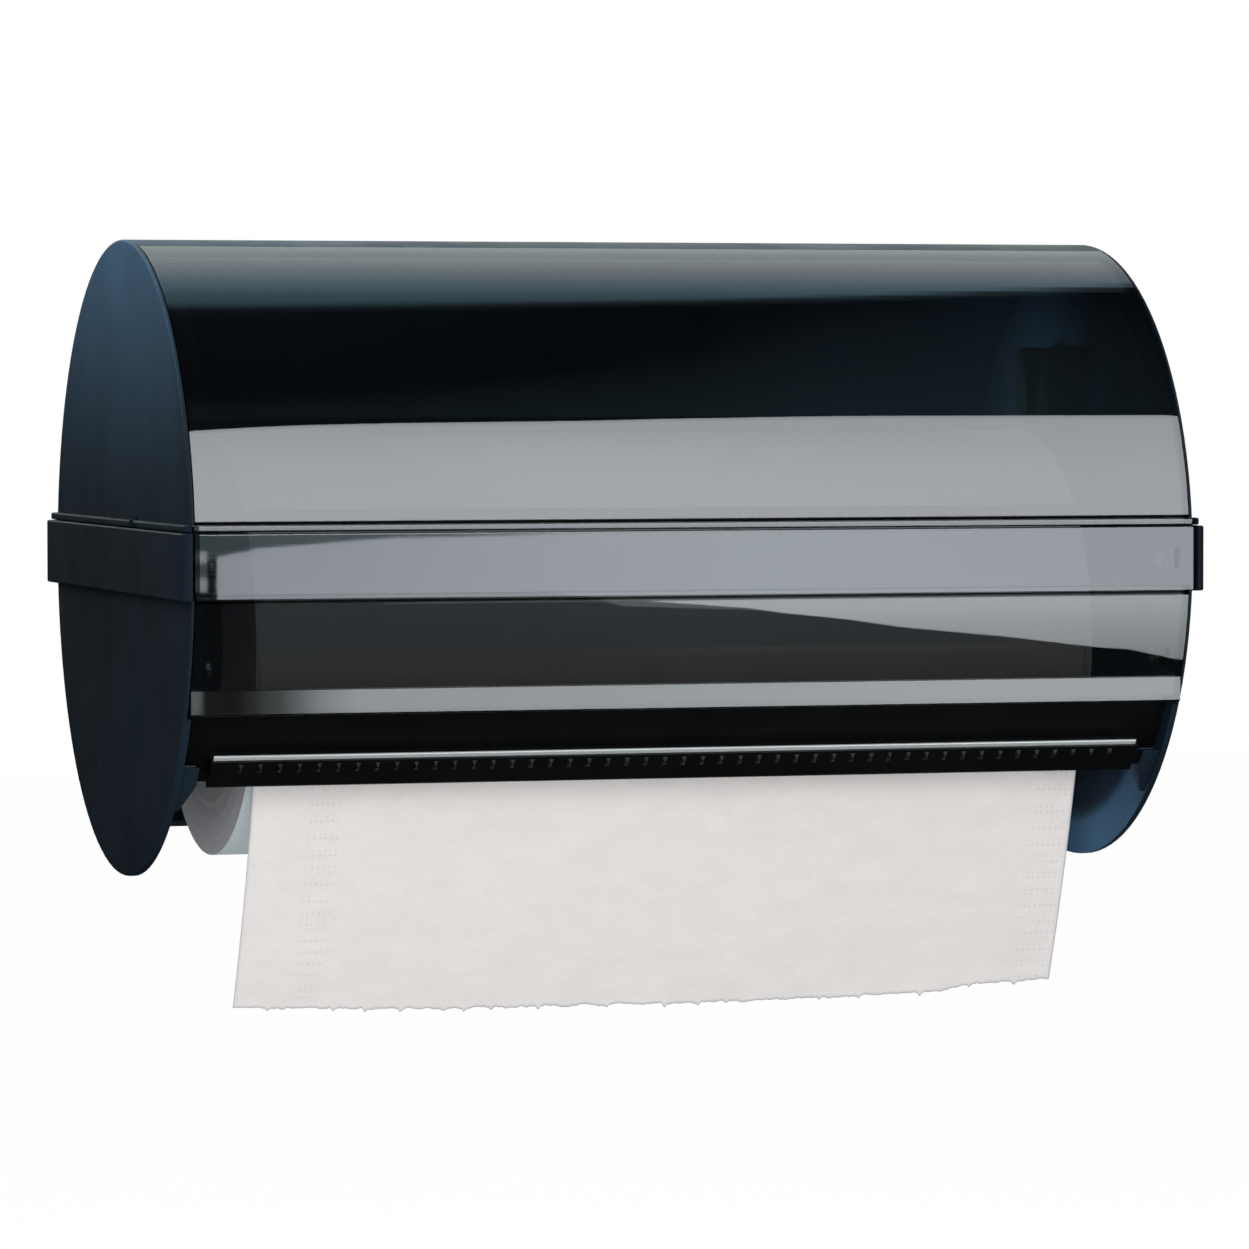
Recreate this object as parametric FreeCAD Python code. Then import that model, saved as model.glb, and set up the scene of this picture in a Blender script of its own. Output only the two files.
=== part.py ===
# Wall-mounted drum dispenser for wide paper rolls.
# The drum lies along X. Y points back into the wall, Z up, all sizes in millimetres.
# Every piece is drawn about the drum's axis and moved to the wall frame when it is written.

import FreeCAD
import Part
import math
import os
from FreeCAD import Vector

os.makedirs("parts", exist_ok=True)

# Drum shell
LENGTH = 420.0
RADIUS = 130.5
END_WALL = 3.0
SHELL_WALL = 2.6
RIM_ROUND = 1.0
EDGE_ROUND = 0.8

# Split between cover and base, and the collar round the drum there
SPLIT_Z = 13.0
SPLIT_GAP = 0.3
BAND_HEIGHT = 26.6
BAND_PROUD = 4.5
BAND_CORNER = 6.0
LIP_HEIGHT = 2.9
LIP_PROUD = 3.0
LIP_GROOVE = 1.3
BAND_GROOVE = 1.8
GROOVE_DEPTH = 1.1
FRONT_END_INSET = 0.2
FRONT_END_ROUND = 2.2
CORNER_INSET = 0.4
CORNER_DEPTH = 3.0

# Smoke window and its seat in the cover
WINDOW_WALL = 2.4
SEAM_ANGLE = 12.6
SEAM_GAP = 0.4
SIDE_GAP = 0.5
RIM_LIP = 1.3
SEAT_GAP = 0.1
SEAT_WALL = 2.0
WINDOW_SEAT_WIDTH = 8.0
FRONT_RAIL_HEIGHT = 9.0
COVER_RIB_DEPTH = 6.0
COVER_RIB_WALL = 1.6
COVER_RIB_SPACING = 138.0

# Lower front panel
PANEL_WALL = 2.5
PANEL_SEAT_WIDTH = 3.5
LEDGE_TOP = 49.4
LEDGE_HEIGHT = 10.0
LEDGE_GAP = 0.3
PANEL_CLEARANCE = 0.6
REAR_SHELL_END = 62.0

# Tear bar, its edge strip and its carrier
CARRIER_INSET = 6.5
CARRIER_WALL = 2.4
CARRIER_TOP_ANGLE = 24.0
CARRIER_TAB_ANGLE = 29.7
CARRIER_FOOT_INSET = 5.0
CARRIER_WIDE_ANGLE = 40.2
BAR_ANGLE = 40.2
BAR_INSET = 0.3
BAR_END_ROOM = 14.0
BAR_HEIGHT = 14.6
BAR_WALL = 6.0
BAR_LIP_WALL = 2.6
BAR_FOOT_ROUND = 1.8
BAR_BACK_ROUND = 0.6
TOOTH_PITCH = 8.0
TOOTH_END_ROOM = 7.0
TOOTH_WIDTH = 2.0
TOOTH_HEIGHT = 4.6
TOOTH_SHOULDER = 1.6
TOOTH_REACH = 1.4
TOOTH_DROP = 1.4
STRIP_WALL = 1.2
STRIP_SHOW = 2.0
STRIP_ROUND = 0.5
STRIP_END_WALL = 0.8
STRIP_DEPTH = 9.0
STRIP_SETBACK = 1.0
TENON_LENGTH = 7.5
TENON_WALL = 3.0
TENON_HEIGHT = 5.0
TENON_DROP = 3.2
GUSSET_REACH = 6.8
GUSSET_FOOT_REACH = 2.0
GUSSET_INSET = 1.5
GUSSET_TOP_ANGLE = 38.7
GUSSET_FOOT_ANGLE = 50.0
GUSSET_TOP_DEPTH = 6.5
GUSSET_DEPTH = 9.5
GUSSET_BELLY = 0.4
BAR_END_GAP = 0.5

# Paper roll, core, hubs and spindle
ROLL_Y = 3.0
ROLL_Z = -36.0
ROLL_RIM_ROOM = 43.5
ROLL_END_ROOM = 31.75
ROLL_SHIFT = 5.25
CORE_BORE = 38.0
CORE_WALL = 1.5
ROD_DIAMETER = 12.0
ROD_END_ROOM = 8.0
ROD_CHAMFER = 1.0
HUB_FLANGE = 56.0
HUB_FLANGE_WALL = 2.5
HUB_PLUG_LENGTH = 24.0
HUB_RING_WALL = 2.2
HUB_BOSS_WALL = 2.4
HUB_SPOKE_WALL = 2.0
HUB_RUNNING_GAP = 0.06
SHEET_INSET = 1.0
SHEET_WALL = 0.5
SHEET_LEAN = 22.0
SHEET_DROP = 150.0
SHEET_SIDE_RISE = 7.0
SHEET_GAP = 0.3

# Upright guides for the spindle
GUIDE_WIDTH = 46.0
GUIDE_NECK_WIDTH = 38.0
GUIDE_FLARE_HEIGHT = 28.0
GUIDE_SCREW_MARGIN = 5.0
GUIDE_DEPTH = 18.0
GUIDE_TOP = 86.5
GUIDE_FOOT = 26.0
GUIDE_CORNER = 3.0
GUIDE_POCKET_WALL = 2.5
GUIDE_BACK_WALL = 3.0
GUIDE_WEB = 8.0
ROD_SLOT_GAP = 0.2
FUNNEL_WIDTH = 26.0
FUNNEL_HEIGHT = 20.0
COVER_SIDE_GAP = 0.3

# Rear hinge
HINGE_BACK = 9.0
HINGE_RISE = 2.0
HINGE_SPACING = 250.0
KNUCKLE_RADIUS = 4.0
COVER_KNUCKLE = 20.0
BASE_KNUCKLE = 12.0
KNUCKLE_GAP = 0.4
PIN_DIAMETER = 3.0
PIN_RUNNING_GAP = 0.05

# Side latches and the notches that reach them
LATCH_FORWARD = 36.5
LATCH_WIDTH = 20.0
LATCH_WALL = 6.5
LATCH_DROP = 20.7
LATCH_POST_WALL = 3.5
LATCH_POST_RISE = 8.0
LATCH_GAP = 0.3
LATCH_SETBACK = 2.2
LATCH_ROOM = 5.0
HOUSING_WALL = 2.4
LEAF_WALL = 0.4
LEAF_WIDTH = 12.0
LEAF_SPAN = 13.0
NOTCH_WIDTH = 17.0
NOTCH_HEIGHT = 4.2
KEEPER_DEPTH = 1.2
KEEPER_HEIGHT = 3.5

# Wall side
STANDOFF = 27.0
BRACKET_WALL = 2.5
HOLE_SPACING_X = 230.0
HOLE_SPACING_Z = 56.0
HOLE_DIAMETER = 6.0
HOLE_MARGIN = 12.0
BRACKET_CORNER = 8.0
PATTERN_DROP = 46.0
PEDESTAL_WIDTH = 206.0
PEDESTAL_HEIGHT = 58.0
PEDESTAL_WALL = 3.0
HOOK_SPACING = 120.0
HOOK_WIDTH = 24.0
HOOK_HEIGHT = 12.0
HOOK_GAP = 0.5
LOCK_TAB_WIDTH = 30.0
LOCK_TAB_DEPTH = 24.0

# Screws and the bosses that take them
SCREW_DIAMETER = 3.5
HEAD_DIAMETER = 7.0
HEAD_HEIGHT = 2.0
SCREW_BITE = 4.5
BOSS_DIAMETER = 9.0
BOSS_HEIGHT = 4.0
TAB_WALL = 2.2
HEAD_GAP = 0.3
HEAD_SEAT_DEPTH = 0.4

# Worked out from the sizes above
HALF = LENGTH / 2
INNER = HALF - END_WALL
BAY_HALF = HALF - RIM_LIP
FRONT_HALF = BAY_HALF - SIDE_GAP
BAR_FRONT_HALF = HALF - FRONT_END_INSET
CORNER_HALF = HALF + CORNER_INSET
COVER_Z = SPLIT_Z + SPLIT_GAP
LIP_TOP = COVER_Z + LIP_HEIGHT
BAND_BOTTOM = SPLIT_Z - BAND_HEIGHT
SEAM = 90.0 + SEAM_ANGLE
SHELL_IN = RADIUS - SHELL_WALL
WINDOW_IN = RADIUS - WINDOW_WALL
PANEL_IN = RADIUS - PANEL_WALL
HINGE_Y = RADIUS + HINGE_BACK
HINGE_Z = SPLIT_Z + HINGE_RISE
AXIS_TO_WALL = RADIUS + STANDOFF
BRACKET_FACE = AXIS_TO_WALL - BRACKET_WALL
PATTERN_Z = -PATTERN_DROP
PEDESTAL_BOTTOM = PATTERN_Z - PEDESTAL_HEIGHT / 2
PEDESTAL_TOP = PATTERN_Z + PEDESTAL_HEIGHT / 2
ROLL_RADIUS = RADIUS - ROLL_RIM_ROOM
ROLL_WIDTH = LENGTH - 2 * ROLL_END_ROOM
ROD_LENGTH = LENGTH - 2 * ROD_END_ROOM
SHEET_WIDTH = ROLL_WIDTH - 2 * SHEET_INSET
CARRIER_RADIUS = RADIUS - CARRIER_INSET
BAR_RADIUS = RADIUS - BAR_INSET
BAR_LENGTH = LENGTH - 2 * BAR_END_ROOM
GUSSET_RADIUS = RADIUS - GUSSET_INSET
TOOTH_COUNT = int((BAR_LENGTH - 2 * TOOTH_END_ROOM) / TOOTH_PITCH)
ROD_RADIUS = ROD_DIAMETER / 2
CORE_RADIUS = CORE_BORE / 2
LATCH_Y = -LATCH_FORWARD
LATCH_FACE = INNER - LATCH_SETBACK
LATCH_CAP = LATCH_FACE - LATCH_WALL - LATCH_ROOM
FAR = 400.0
X_AXIS = Vector(1, 0, 0)


# Drawing helpers
def polar(radius, angle):
    """A (y, z) point. 0 degrees is straight back, 90 the crown, 180 straight to the front."""
    turn = math.radians(angle)
    return (radius * math.cos(turn), radius * math.sin(turn))


def on_circle(radius, z):
    """The front point of a circle about the drum's axis at a height."""
    return (-math.sqrt(radius * radius - z * z), z)


def block(x0, x1, y0, y1, z0, z1):
    return Part.makeBox(x1 - x0, y1 - y0, z1 - z0, Vector(x0, y0, z0))


def rod(radius, x0, x1, y=0.0, z=0.0):
    return Part.makeCylinder(radius, x1 - x0, Vector(x0, y, z), X_AXIS)


def profile(x0, x1, start, *steps):
    """Extrude a closed YZ outline along X. A step is a corner, or a pair: a point on an arc and its end."""
    edges = []
    here = Vector(x0, *start)
    for step in list(steps) + [start]:
        if isinstance(step[0], tuple):
            middle = Vector(x0, *step[0])
            end = Vector(x0, *step[1])
            edges.append(Part.Arc(here, middle, end).toShape())
        else:
            end = Vector(x0, *step)
            if here.distanceToPoint(end) < 1e-7:
                continue
            edges.append(Part.makeLine(here, end))
        here = end
    return Part.Face(Part.Wire(edges)).extrude(Vector(x1 - x0, 0, 0))


def sector(r_in, r_out, a0, a1, x0, x1):
    """Part of a tube about the drum's axis."""
    middle = (a0 + a1) / 2
    outer = (polar(r_out, middle), polar(r_out, a1))
    inner = (polar(r_in, middle), polar(r_in, a0))
    return profile(x0, x1, polar(r_out, a0), outer, polar(r_in, a1), inner)


def mirrored(shape):
    return shape.mirror(Vector(0, 0, 0), X_AXIS)


def both_sides(shape):
    return [shape, mirrored(shape)]


def fuse(first, *others):
    return first.fuse(list(others)).removeSplitter()


def cut(shape, *tools):
    return shape.cut(list(tools))


def top_of(z):
    return block(-FAR, FAR, -FAR, FAR, z, z + FAR)


def bottom_of(z):
    return block(-FAR, FAR, -FAR, FAR, z - FAR, z)


def round_long_edges(shape, radius, *corners):
    """Round the edges parallel to X that pass through the given (y, z) corners."""
    chosen = []
    for edge in shape.Edges:
        box = edge.BoundBox
        if box.YLength > 1e-6 or box.ZLength > 1e-6:
            continue
        for y, z in corners:
            if abs(box.YMin - y) < 1e-4 and abs(box.ZMin - z) < 1e-4:
                chosen.append(edge)
    return shape.makeFillet(radius, chosen)


def screw(x_seat, y, z, x_tip):
    """A pan-head screw along X, driven outwards, its head just inboard of x_seat."""
    head = rod(HEAD_DIAMETER / 2, x_seat - HEAD_HEIGHT, x_seat, y, z)
    rim = [e for e in head.Edges if abs(e.BoundBox.XMax - (x_seat - HEAD_HEIGHT)) < 1e-6]
    head = head.makeFillet(HEAD_HEIGHT * 0.45, rim)
    return fuse(head, rod(SCREW_DIAMETER / 2, x_seat - 0.5, x_tip, y, z))


def screw_hole(x0, x1, y, z):
    return rod(SCREW_DIAMETER / 2, x0, x1, y, z)


# Shared forms of the drum
def drum():
    body = rod(RADIUS, -HALF, HALF)
    rims = [e for e in body.Edges if isinstance(e.Curve, Part.Circle)]
    return body.makeFillet(RIM_ROUND, rims)


def end_plate():
    return drum().common(block(INNER, HALF + 1, -FAR, FAR, -FAR, FAR))


def collar(proud, z0, z1):
    """The square-cornered ring that stands proud of the drum between two heights."""
    half_x = HALF + proud
    half_y = RADIUS + proud
    box = block(-half_x, half_x, -half_y, half_y, z0, z1)
    upright = [e for e in box.Edges if e.BoundBox.ZLength > (z1 - z0) / 2]
    box = box.makeFillet(BAND_CORNER, upright)
    level = [e for e in box.Edges if e.BoundBox.ZLength < 1e-6]
    return box.makeFillet(EDGE_ROUND, level).cut(drum())


def front_bay():
    """The room at the front of the collar, between its corners, where the smoke parts sit."""
    between_ends = block(-INNER, INNER, -FAR, 0, -FAR, FAR)
    return between_ends.fuse(block(-CORNER_HALF, CORNER_HALF, -FAR, -RADIUS + CORNER_DEPTH, -FAR, FAR))


def rim_rebate(r_in, a0, a1):
    """The step in an end plate's rim that takes the end of a smoke part."""
    return sector(r_in, RADIUS + 1, a0, a1, INNER - 1, BAY_HALF)


def front_bar(proud, z0, z1, depth):
    """A bar across the front with rounded ends, standing proud of the drum."""
    face = -(RADIUS + proud)
    bar = block(-BAR_FRONT_HALF, BAR_FRONT_HALF, face, face + depth, z0, z1)
    middle = face + depth / 2
    upright = [e for e in bar.Edges if e.BoundBox.ZLength > (z1 - z0) / 2 and e.BoundBox.YMax < middle]
    bar = bar.makeFillet(FRONT_END_ROUND, upright)
    level = [e for e in bar.Edges if e.BoundBox.ZLength < 1e-6 and e.BoundBox.YMin < middle
             and e.BoundBox.YMax < face + depth - 1e-6]
    return bar.makeFillet(EDGE_ROUND, level)


# Cover: end halves, rear and top shell, window seat, hinge knuckles
def window_seat():
    r_out = WINDOW_IN - SEAT_GAP
    r_in = r_out - SEAT_WALL
    under_seam = sector(r_in, r_out, SEAM - 1, SEAM + 5, -INNER - 1, INNER + 1)
    under_shell = sector(r_in, RADIUS - SHELL_WALL / 2, SEAM - 5, SEAM - 0.5, -INNER - 1, INNER + 1)
    side = sector(r_in, r_out, SEAM, 180, INNER - WINDOW_SEAT_WIDTH, INNER + 1)
    rail_angle = 180 - math.degrees(math.asin((COVER_Z + FRONT_RAIL_HEIGHT) / RADIUS))
    rail = sector(r_in, r_out, rail_angle, 180, -INNER - 1, INNER + 1)
    return [under_seam, under_shell, rail] + both_sides(side)


def cover_ribs():
    r_in = SHELL_IN - COVER_RIB_DEPTH
    rib = sector(r_in, RADIUS - SHELL_WALL / 2, 8, SEAM - 5, -COVER_RIB_WALL / 2, COVER_RIB_WALL / 2)
    places = (-COVER_RIB_SPACING / 2, COVER_RIB_SPACING / 2)
    return [rib.translated(Vector(x, 0, 0)) for x in places]


def cover_knuckles():
    half = COVER_KNUCKLE / 2
    arm = block(-half, half, SHELL_IN + 1, HINGE_Y, COVER_Z, HINGE_Z + KNUCKLE_RADIUS)
    barrel = rod(KNUCKLE_RADIUS, -COVER_KNUCKLE / 2, COVER_KNUCKLE / 2, HINGE_Y, HINGE_Z)
    knuckle = arm.fuse(barrel)
    return [knuckle.translated(Vector(x, 0, 0)) for x in hinge_places()]


def hinge_places():
    return (-HINGE_SPACING / 2, HINGE_SPACING / 2)


def key_notch():
    """The three-cornered notch in the lip, steep at the back and sloping to the front."""
    rear = LATCH_Y + NOTCH_WIDTH / 2
    front = LATCH_Y - NOTCH_WIDTH / 2
    foot = COVER_Z - 1
    peak = COVER_Z + NOTCH_HEIGHT
    lean = NOTCH_WIDTH * 0.1
    return profile(INNER - 1, HALF + LIP_PROUD + 1,
                   (rear, foot), (rear - lean, peak), (rear - 2 * lean, peak), (front, COVER_Z),
                   (front, foot))


def keeper_pocket():
    foot = COVER_Z + NOTCH_HEIGHT
    half = (LATCH_WIDTH - 2 * HOUSING_WALL) / 2
    return block(INNER - 1, INNER + KEEPER_DEPTH, LATCH_Y - half, LATCH_Y + half, foot, foot + KEEPER_HEIGHT)


def cover_frame():
    shell = sector(SHELL_IN, RADIUS, 0, SEAM, -INNER - 1, INNER + 1)
    lip = collar(LIP_PROUD, COVER_Z, LIP_TOP).cut(front_bay())
    pieces = both_sides(end_plate()) + window_seat() + cover_ribs()
    body = fuse(shell, *pieces).cut(bottom_of(COVER_Z))
    body = fuse(body, lip, *cover_knuckles())
    pin_bore = rod(PIN_DIAMETER / 2 + PIN_RUNNING_GAP, -FAR, FAR, HINGE_Y, HINGE_Z)
    rebate = rim_rebate(WINDOW_IN - SEAT_GAP, SEAM, 180)
    tools = both_sides(key_notch()) + both_sides(keeper_pocket()) + both_sides(rebate) + [pin_bore]
    return cut(body, *tools)


def cover_window():
    """Smoke window with the front lip moulded on its foot, under a shadow groove."""
    lip_depth = LIP_PROUD - COVER_SIDE_GAP
    lip_middle = -(RADIUS + LIP_PROUD - lip_depth / 2)
    groove_y = on_circle(RADIUS, LIP_TOP)[0] + GROOVE_DEPTH
    gap_angle = math.degrees(SEAM_GAP / RADIUS)
    start = SEAM + gap_angle
    outer_foot = on_circle(RADIUS, LIP_TOP + LIP_GROOVE)
    inner_foot = on_circle(WINDOW_IN, COVER_Z)
    shape = profile(-FRONT_HALF, FRONT_HALF, polar(RADIUS, start),
                    (polar(RADIUS, 135), outer_foot), (groove_y, LIP_TOP), (lip_middle, LIP_TOP),
                    (lip_middle, COVER_Z), inner_foot, (polar(WINDOW_IN, 135), polar(WINDOW_IN, start)))
    return fuse(shape, front_bar(LIP_PROUD, COVER_Z, LIP_TOP, lip_depth))


# Base: end halves, rear shell, band, gussets, pedestal, hinge knuckles, latch housings
def panel_seat():
    r_out = PANEL_IN - SEAT_GAP
    top = 180 + math.degrees(math.asin(-BAND_BOTTOM / RADIUS)) + 1
    foot = 180 + math.degrees(math.asin(LEDGE_TOP / RADIUS)) - 1
    return sector(r_out - SEAT_WALL, r_out, top, foot, INNER - PANEL_SEAT_WIDTH, INNER + 1)


def gusset():
    """The tapered bracket that takes one end of the tear bar, wide at its flat top and thin at its foot."""
    a0 = 180 + GUSSET_TOP_ANGLE
    a1 = 180 + GUSSET_FOOT_ANGLE
    top = polar(GUSSET_RADIUS, a0)
    foot = polar(GUSSET_RADIUS, a1)
    belly = polar(GUSSET_RADIUS, a0 + (a1 - a0) * GUSSET_BELLY)
    body = profile(INNER - GUSSET_REACH, INNER + 1, top,
                   (polar(GUSSET_RADIUS, (a0 + a1) / 2), foot), (foot[0] + 1, foot[1]),
                   (belly[0] + GUSSET_DEPTH, belly[1]), (top[0] + GUSSET_TOP_DEPTH, top[1]))
    inner = INNER - GUSSET_REACH
    slope = (GUSSET_REACH - GUSSET_FOOT_REACH) / (belly[1] - foot[1])
    lean = [(inner, belly[1]), (inner + slope * (belly[1] - foot[1] + 5), foot[1] - 5), (inner, foot[1] - 5)]
    corners = [Vector(x, -FAR, z) for x, z in lean + lean[:1]]
    return body.cut(Part.Face(Part.makePolygon(corners)).extrude(Vector(0, FAR, 0)))


def tenon(gap):
    """The key on each end of the tear bar, or with a gap the pocket that takes it."""
    middle = BAR_RADIUS - BAR_WALL + TENON_WALL / 2
    reach = BAR_LENGTH / 2 + TENON_LENGTH + gap
    key = block(-reach, reach, -middle - TENON_WALL / 2 - gap, -middle + TENON_WALL / 2 + gap,
                -TENON_DROP - TENON_HEIGHT / 2 - gap, -TENON_DROP + TENON_HEIGHT / 2 + gap)
    return key.rotated(Vector(0, 0, 0), X_AXIS, BAR_ANGLE)


def pedestal():
    """The hollow stand behind the drum that hangs on the wall bracket."""
    half = PEDESTAL_WIDTH / 2
    wall = PEDESTAL_WALL
    outer = block(-half, half, 0, BRACKET_FACE, PEDESTAL_BOTTOM, PEDESTAL_TOP)
    room = block(-half + wall, half - wall, -1, BRACKET_FACE - wall,
                 PEDESTAL_BOTTOM + wall, PEDESTAL_TOP - wall)
    lock_y = BRACKET_FACE - LOCK_TAB_DEPTH / 2
    boss = Part.makeCylinder(BOSS_DIAMETER / 2, wall + SCREW_BITE, Vector(0, lock_y, PEDESTAL_BOTTOM))
    hole = Part.makeCylinder(SCREW_DIAMETER / 2, FAR, Vector(0, lock_y, PEDESTAL_BOTTOM - 1))
    hole = hole.common(bottom_of(PEDESTAL_BOTTOM + wall + SCREW_BITE - 1))
    slots = [hook_slot(x) for x in hook_places()]
    return cut(fuse(outer.cut(room), boss), rod(RADIUS - SHELL_WALL / 2, -FAR, FAR), hole, *slots)


def hook_places():
    return (-HOOK_SPACING / 2, HOOK_SPACING / 2)


def hook_slot(x):
    """The slot whose top edge hangs on a bracket hook."""
    half = HOOK_WIDTH / 2 + HOOK_GAP
    depth = HOOK_HEIGHT + BRACKET_WALL + 2 * HOOK_GAP
    return block(x - half, x + half, BRACKET_FACE - PEDESTAL_WALL - 1, BRACKET_FACE + 1,
                 PATTERN_Z - depth, PATTERN_Z)


def base_knuckles():
    near = HINGE_Y - KNUCKLE_RADIUS
    far = HINGE_Y + KNUCKLE_RADIUS
    foot = SPLIT_Z - 2 * KNUCKLE_RADIUS
    ear = profile(0, BASE_KNUCKLE, (RADIUS, foot), (far, foot), (far, HINGE_Z),
                  ((HINGE_Y, HINGE_Z + KNUCKLE_RADIUS), (near, HINGE_Z)), (near, SPLIT_Z), (RADIUS, SPLIT_Z))
    start = COVER_KNUCKLE / 2 + KNUCKLE_GAP
    pair = [ear.translated(Vector(start, 0, 0)), ear.translated(Vector(-start - BASE_KNUCKLE, 0, 0))]
    return [one.translated(Vector(x, 0, 0)) for x in hinge_places() for one in pair]


def latch_housing():
    half = LATCH_WIDTH / 2 + LATCH_GAP
    outside = half + HOUSING_WALL
    floor = SPLIT_Z - LATCH_DROP - LATCH_GAP
    top = SPLIT_Z - 2
    outer = block(LATCH_CAP - HOUSING_WALL, INNER + 1, LATCH_Y - outside, LATCH_Y + outside,
                  floor - HOUSING_WALL, top)
    return outer.cut(block(LATCH_CAP, LATCH_FACE + LATCH_GAP, LATCH_Y - half, LATCH_Y + half, floor, FAR))


def wall_boss(y, z):
    return rod(BOSS_DIAMETER / 2, INNER - BOSS_HEIGHT, INNER + 1, y, z)


def panel_screw_points():
    lower = on_circle(PANEL_IN, -LEDGE_TOP + BOSS_DIAMETER)
    return [(-(RADIUS - 2.5 * PANEL_WALL - BOSS_DIAMETER / 2), 0.0), (lower[0] + BOSS_DIAMETER, lower[1])]


def carrier_screw_point():
    return polar(CARRIER_RADIUS - CARRIER_WALL - BOSS_DIAMETER, 180 + CARRIER_TAB_ANGLE)


def guide_screw_points():
    side = GUIDE_NECK_WIDTH / 2 - GUIDE_SCREW_MARGIN
    return [(ROLL_Y - side, 0.0), (ROLL_Y + side, 0.0), (ROLL_Y, ROLL_Z - GUIDE_FOOT + BOSS_DIAMETER)]


def base_frame():
    shell = sector(SHELL_IN, RADIUS, -REAR_SHELL_END, 8, -INNER - 1, INNER + 1)
    plates = both_sides(end_plate())
    body = fuse(shell, *plates).cut(top_of(SPLIT_Z))
    band = collar(BAND_PROUD, BAND_BOTTOM, SPLIT_Z).cut(front_bay())
    side_work = [panel_seat(), gusset(), latch_housing()]
    side_work += [wall_boss(y, z) for y, z in panel_screw_points()]
    side_work += [wall_boss(*carrier_screw_point()), wall_boss(*guide_screw_points()[2])]
    additions = [band, pedestal()]
    for work in side_work:
        additions += both_sides(work)
    body = fuse(body, *(additions + base_knuckles()))
    points = panel_screw_points() + [carrier_screw_point()] + guide_screw_points()
    holes = [screw_hole(INNER - BOSS_HEIGHT - 1, INNER + END_WALL - 0.8, y, z) for y, z in points]
    ledge_angle = math.degrees(math.asin((LEDGE_TOP + LEDGE_HEIGHT + LEDGE_GAP) / (PANEL_IN - SEAT_GAP)))
    band_angle = math.degrees(math.asin((-BAND_BOTTOM - PANEL_WALL - LEDGE_GAP) / RADIUS))
    rebate = rim_rebate(PANEL_IN - SEAT_GAP, 180 + band_angle, 180 + ledge_angle)
    tools = [tenon(BAR_END_GAP / 2), rod(PIN_DIAMETER / 2, -FAR, FAR, HINGE_Y, HINGE_Z)] + both_sides(rebate)
    for hole in holes:
        tools += both_sides(hole)
    return cut(body, *tools)


# Lower front panel: band face, curved front, flat ledge
def screw_tab(y_out, y_in, z, half_height):
    x1 = INNER - BOSS_HEIGHT
    return block(x1 - TAB_WALL, x1, y_out, y_in, z - half_height, z + half_height)


def lower_front_panel():
    band_in = -(RADIUS + BAND_PROUD - PANEL_WALL)
    band_middle = band_in - PANEL_WALL / 2
    groove_y = on_circle(RADIUS, BAND_BOTTOM)[0] + GROOVE_DEPTH
    ledge_y = on_circle(RADIUS, -LEDGE_TOP)[0]
    ledge_foot = -(LEDGE_TOP + LEDGE_HEIGHT)
    ledge_back = on_circle(CARRIER_RADIUS, ledge_foot + PANEL_WALL)[0] - LEDGE_GAP
    inner_ledge = ledge_y + PANEL_WALL
    inner_turn = (inner_ledge, -math.sqrt(PANEL_IN ** 2 - inner_ledge ** 2))
    inner_band = on_circle(PANEL_IN, BAND_BOTTOM + PANEL_WALL)
    outer_top = on_circle(RADIUS, BAND_BOTTOM - BAND_GROOVE)
    outer_foot = on_circle(RADIUS, -LEDGE_TOP)
    middle_z = -(LEDGE_TOP - BAND_BOTTOM) / 2
    shape = profile(-FRONT_HALF, FRONT_HALF, (band_middle, BAND_BOTTOM), (groove_y, BAND_BOTTOM), outer_top,
                    (on_circle(RADIUS, middle_z), outer_foot), (ledge_y, ledge_foot),
                    (ledge_back, ledge_foot), (ledge_back, ledge_foot + PANEL_WALL),
                    (inner_ledge, ledge_foot + PANEL_WALL), inner_turn,
                    (on_circle(PANEL_IN, middle_z), inner_band), (band_middle, BAND_BOTTOM + PANEL_WALL))
    shape = round_long_edges(shape, EDGE_ROUND, (ledge_y, ledge_foot))
    inside_ends = rod(PANEL_IN, INNER - PANEL_CLEARANCE, HALF)
    shape = shape.cut(both_sides(inside_ends)).fuse(front_bar(BAND_PROUD, BAND_BOTTOM, SPLIT_Z, PANEL_WALL))
    tabs = []
    points = panel_screw_points()
    for y, z in points:
        reach = -(RADIUS + BAND_PROUD - PANEL_WALL / 2) if z > BAND_BOTTOM else on_circle(PANEL_IN + 1, z)[0]
        tabs += both_sides(screw_tab(reach, y + BOSS_DIAMETER / 2, z, BOSS_DIAMETER / 2))
    tabs = fuse(tabs[0], *tabs[1:]).common(panel_keep())
    holes = []
    for y, z in points:
        holes += both_sides(screw_hole(INNER - BOSS_HEIGHT - TAB_WALL - 1, INNER, y, z))
    return cut(fuse(shape, tabs), *holes)


def panel_keep():
    """Everything behind the panel's outer skin, so that tabs never show through it."""
    band = block(-FAR, FAR, -(RADIUS + BAND_PROUD - PANEL_WALL / 2), 0, BAND_BOTTOM + PANEL_WALL / 2, FAR)
    return band.fuse(rod(RADIUS - PANEL_WALL / 2, -FAR, FAR))


# Tear bar group
def at_bar(shape):
    """Turn a shape drawn at the front of the drum to the tear bar's place."""
    return shape.rotated(Vector(0, 0, 0), X_AXIS, BAR_ANGLE)


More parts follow.
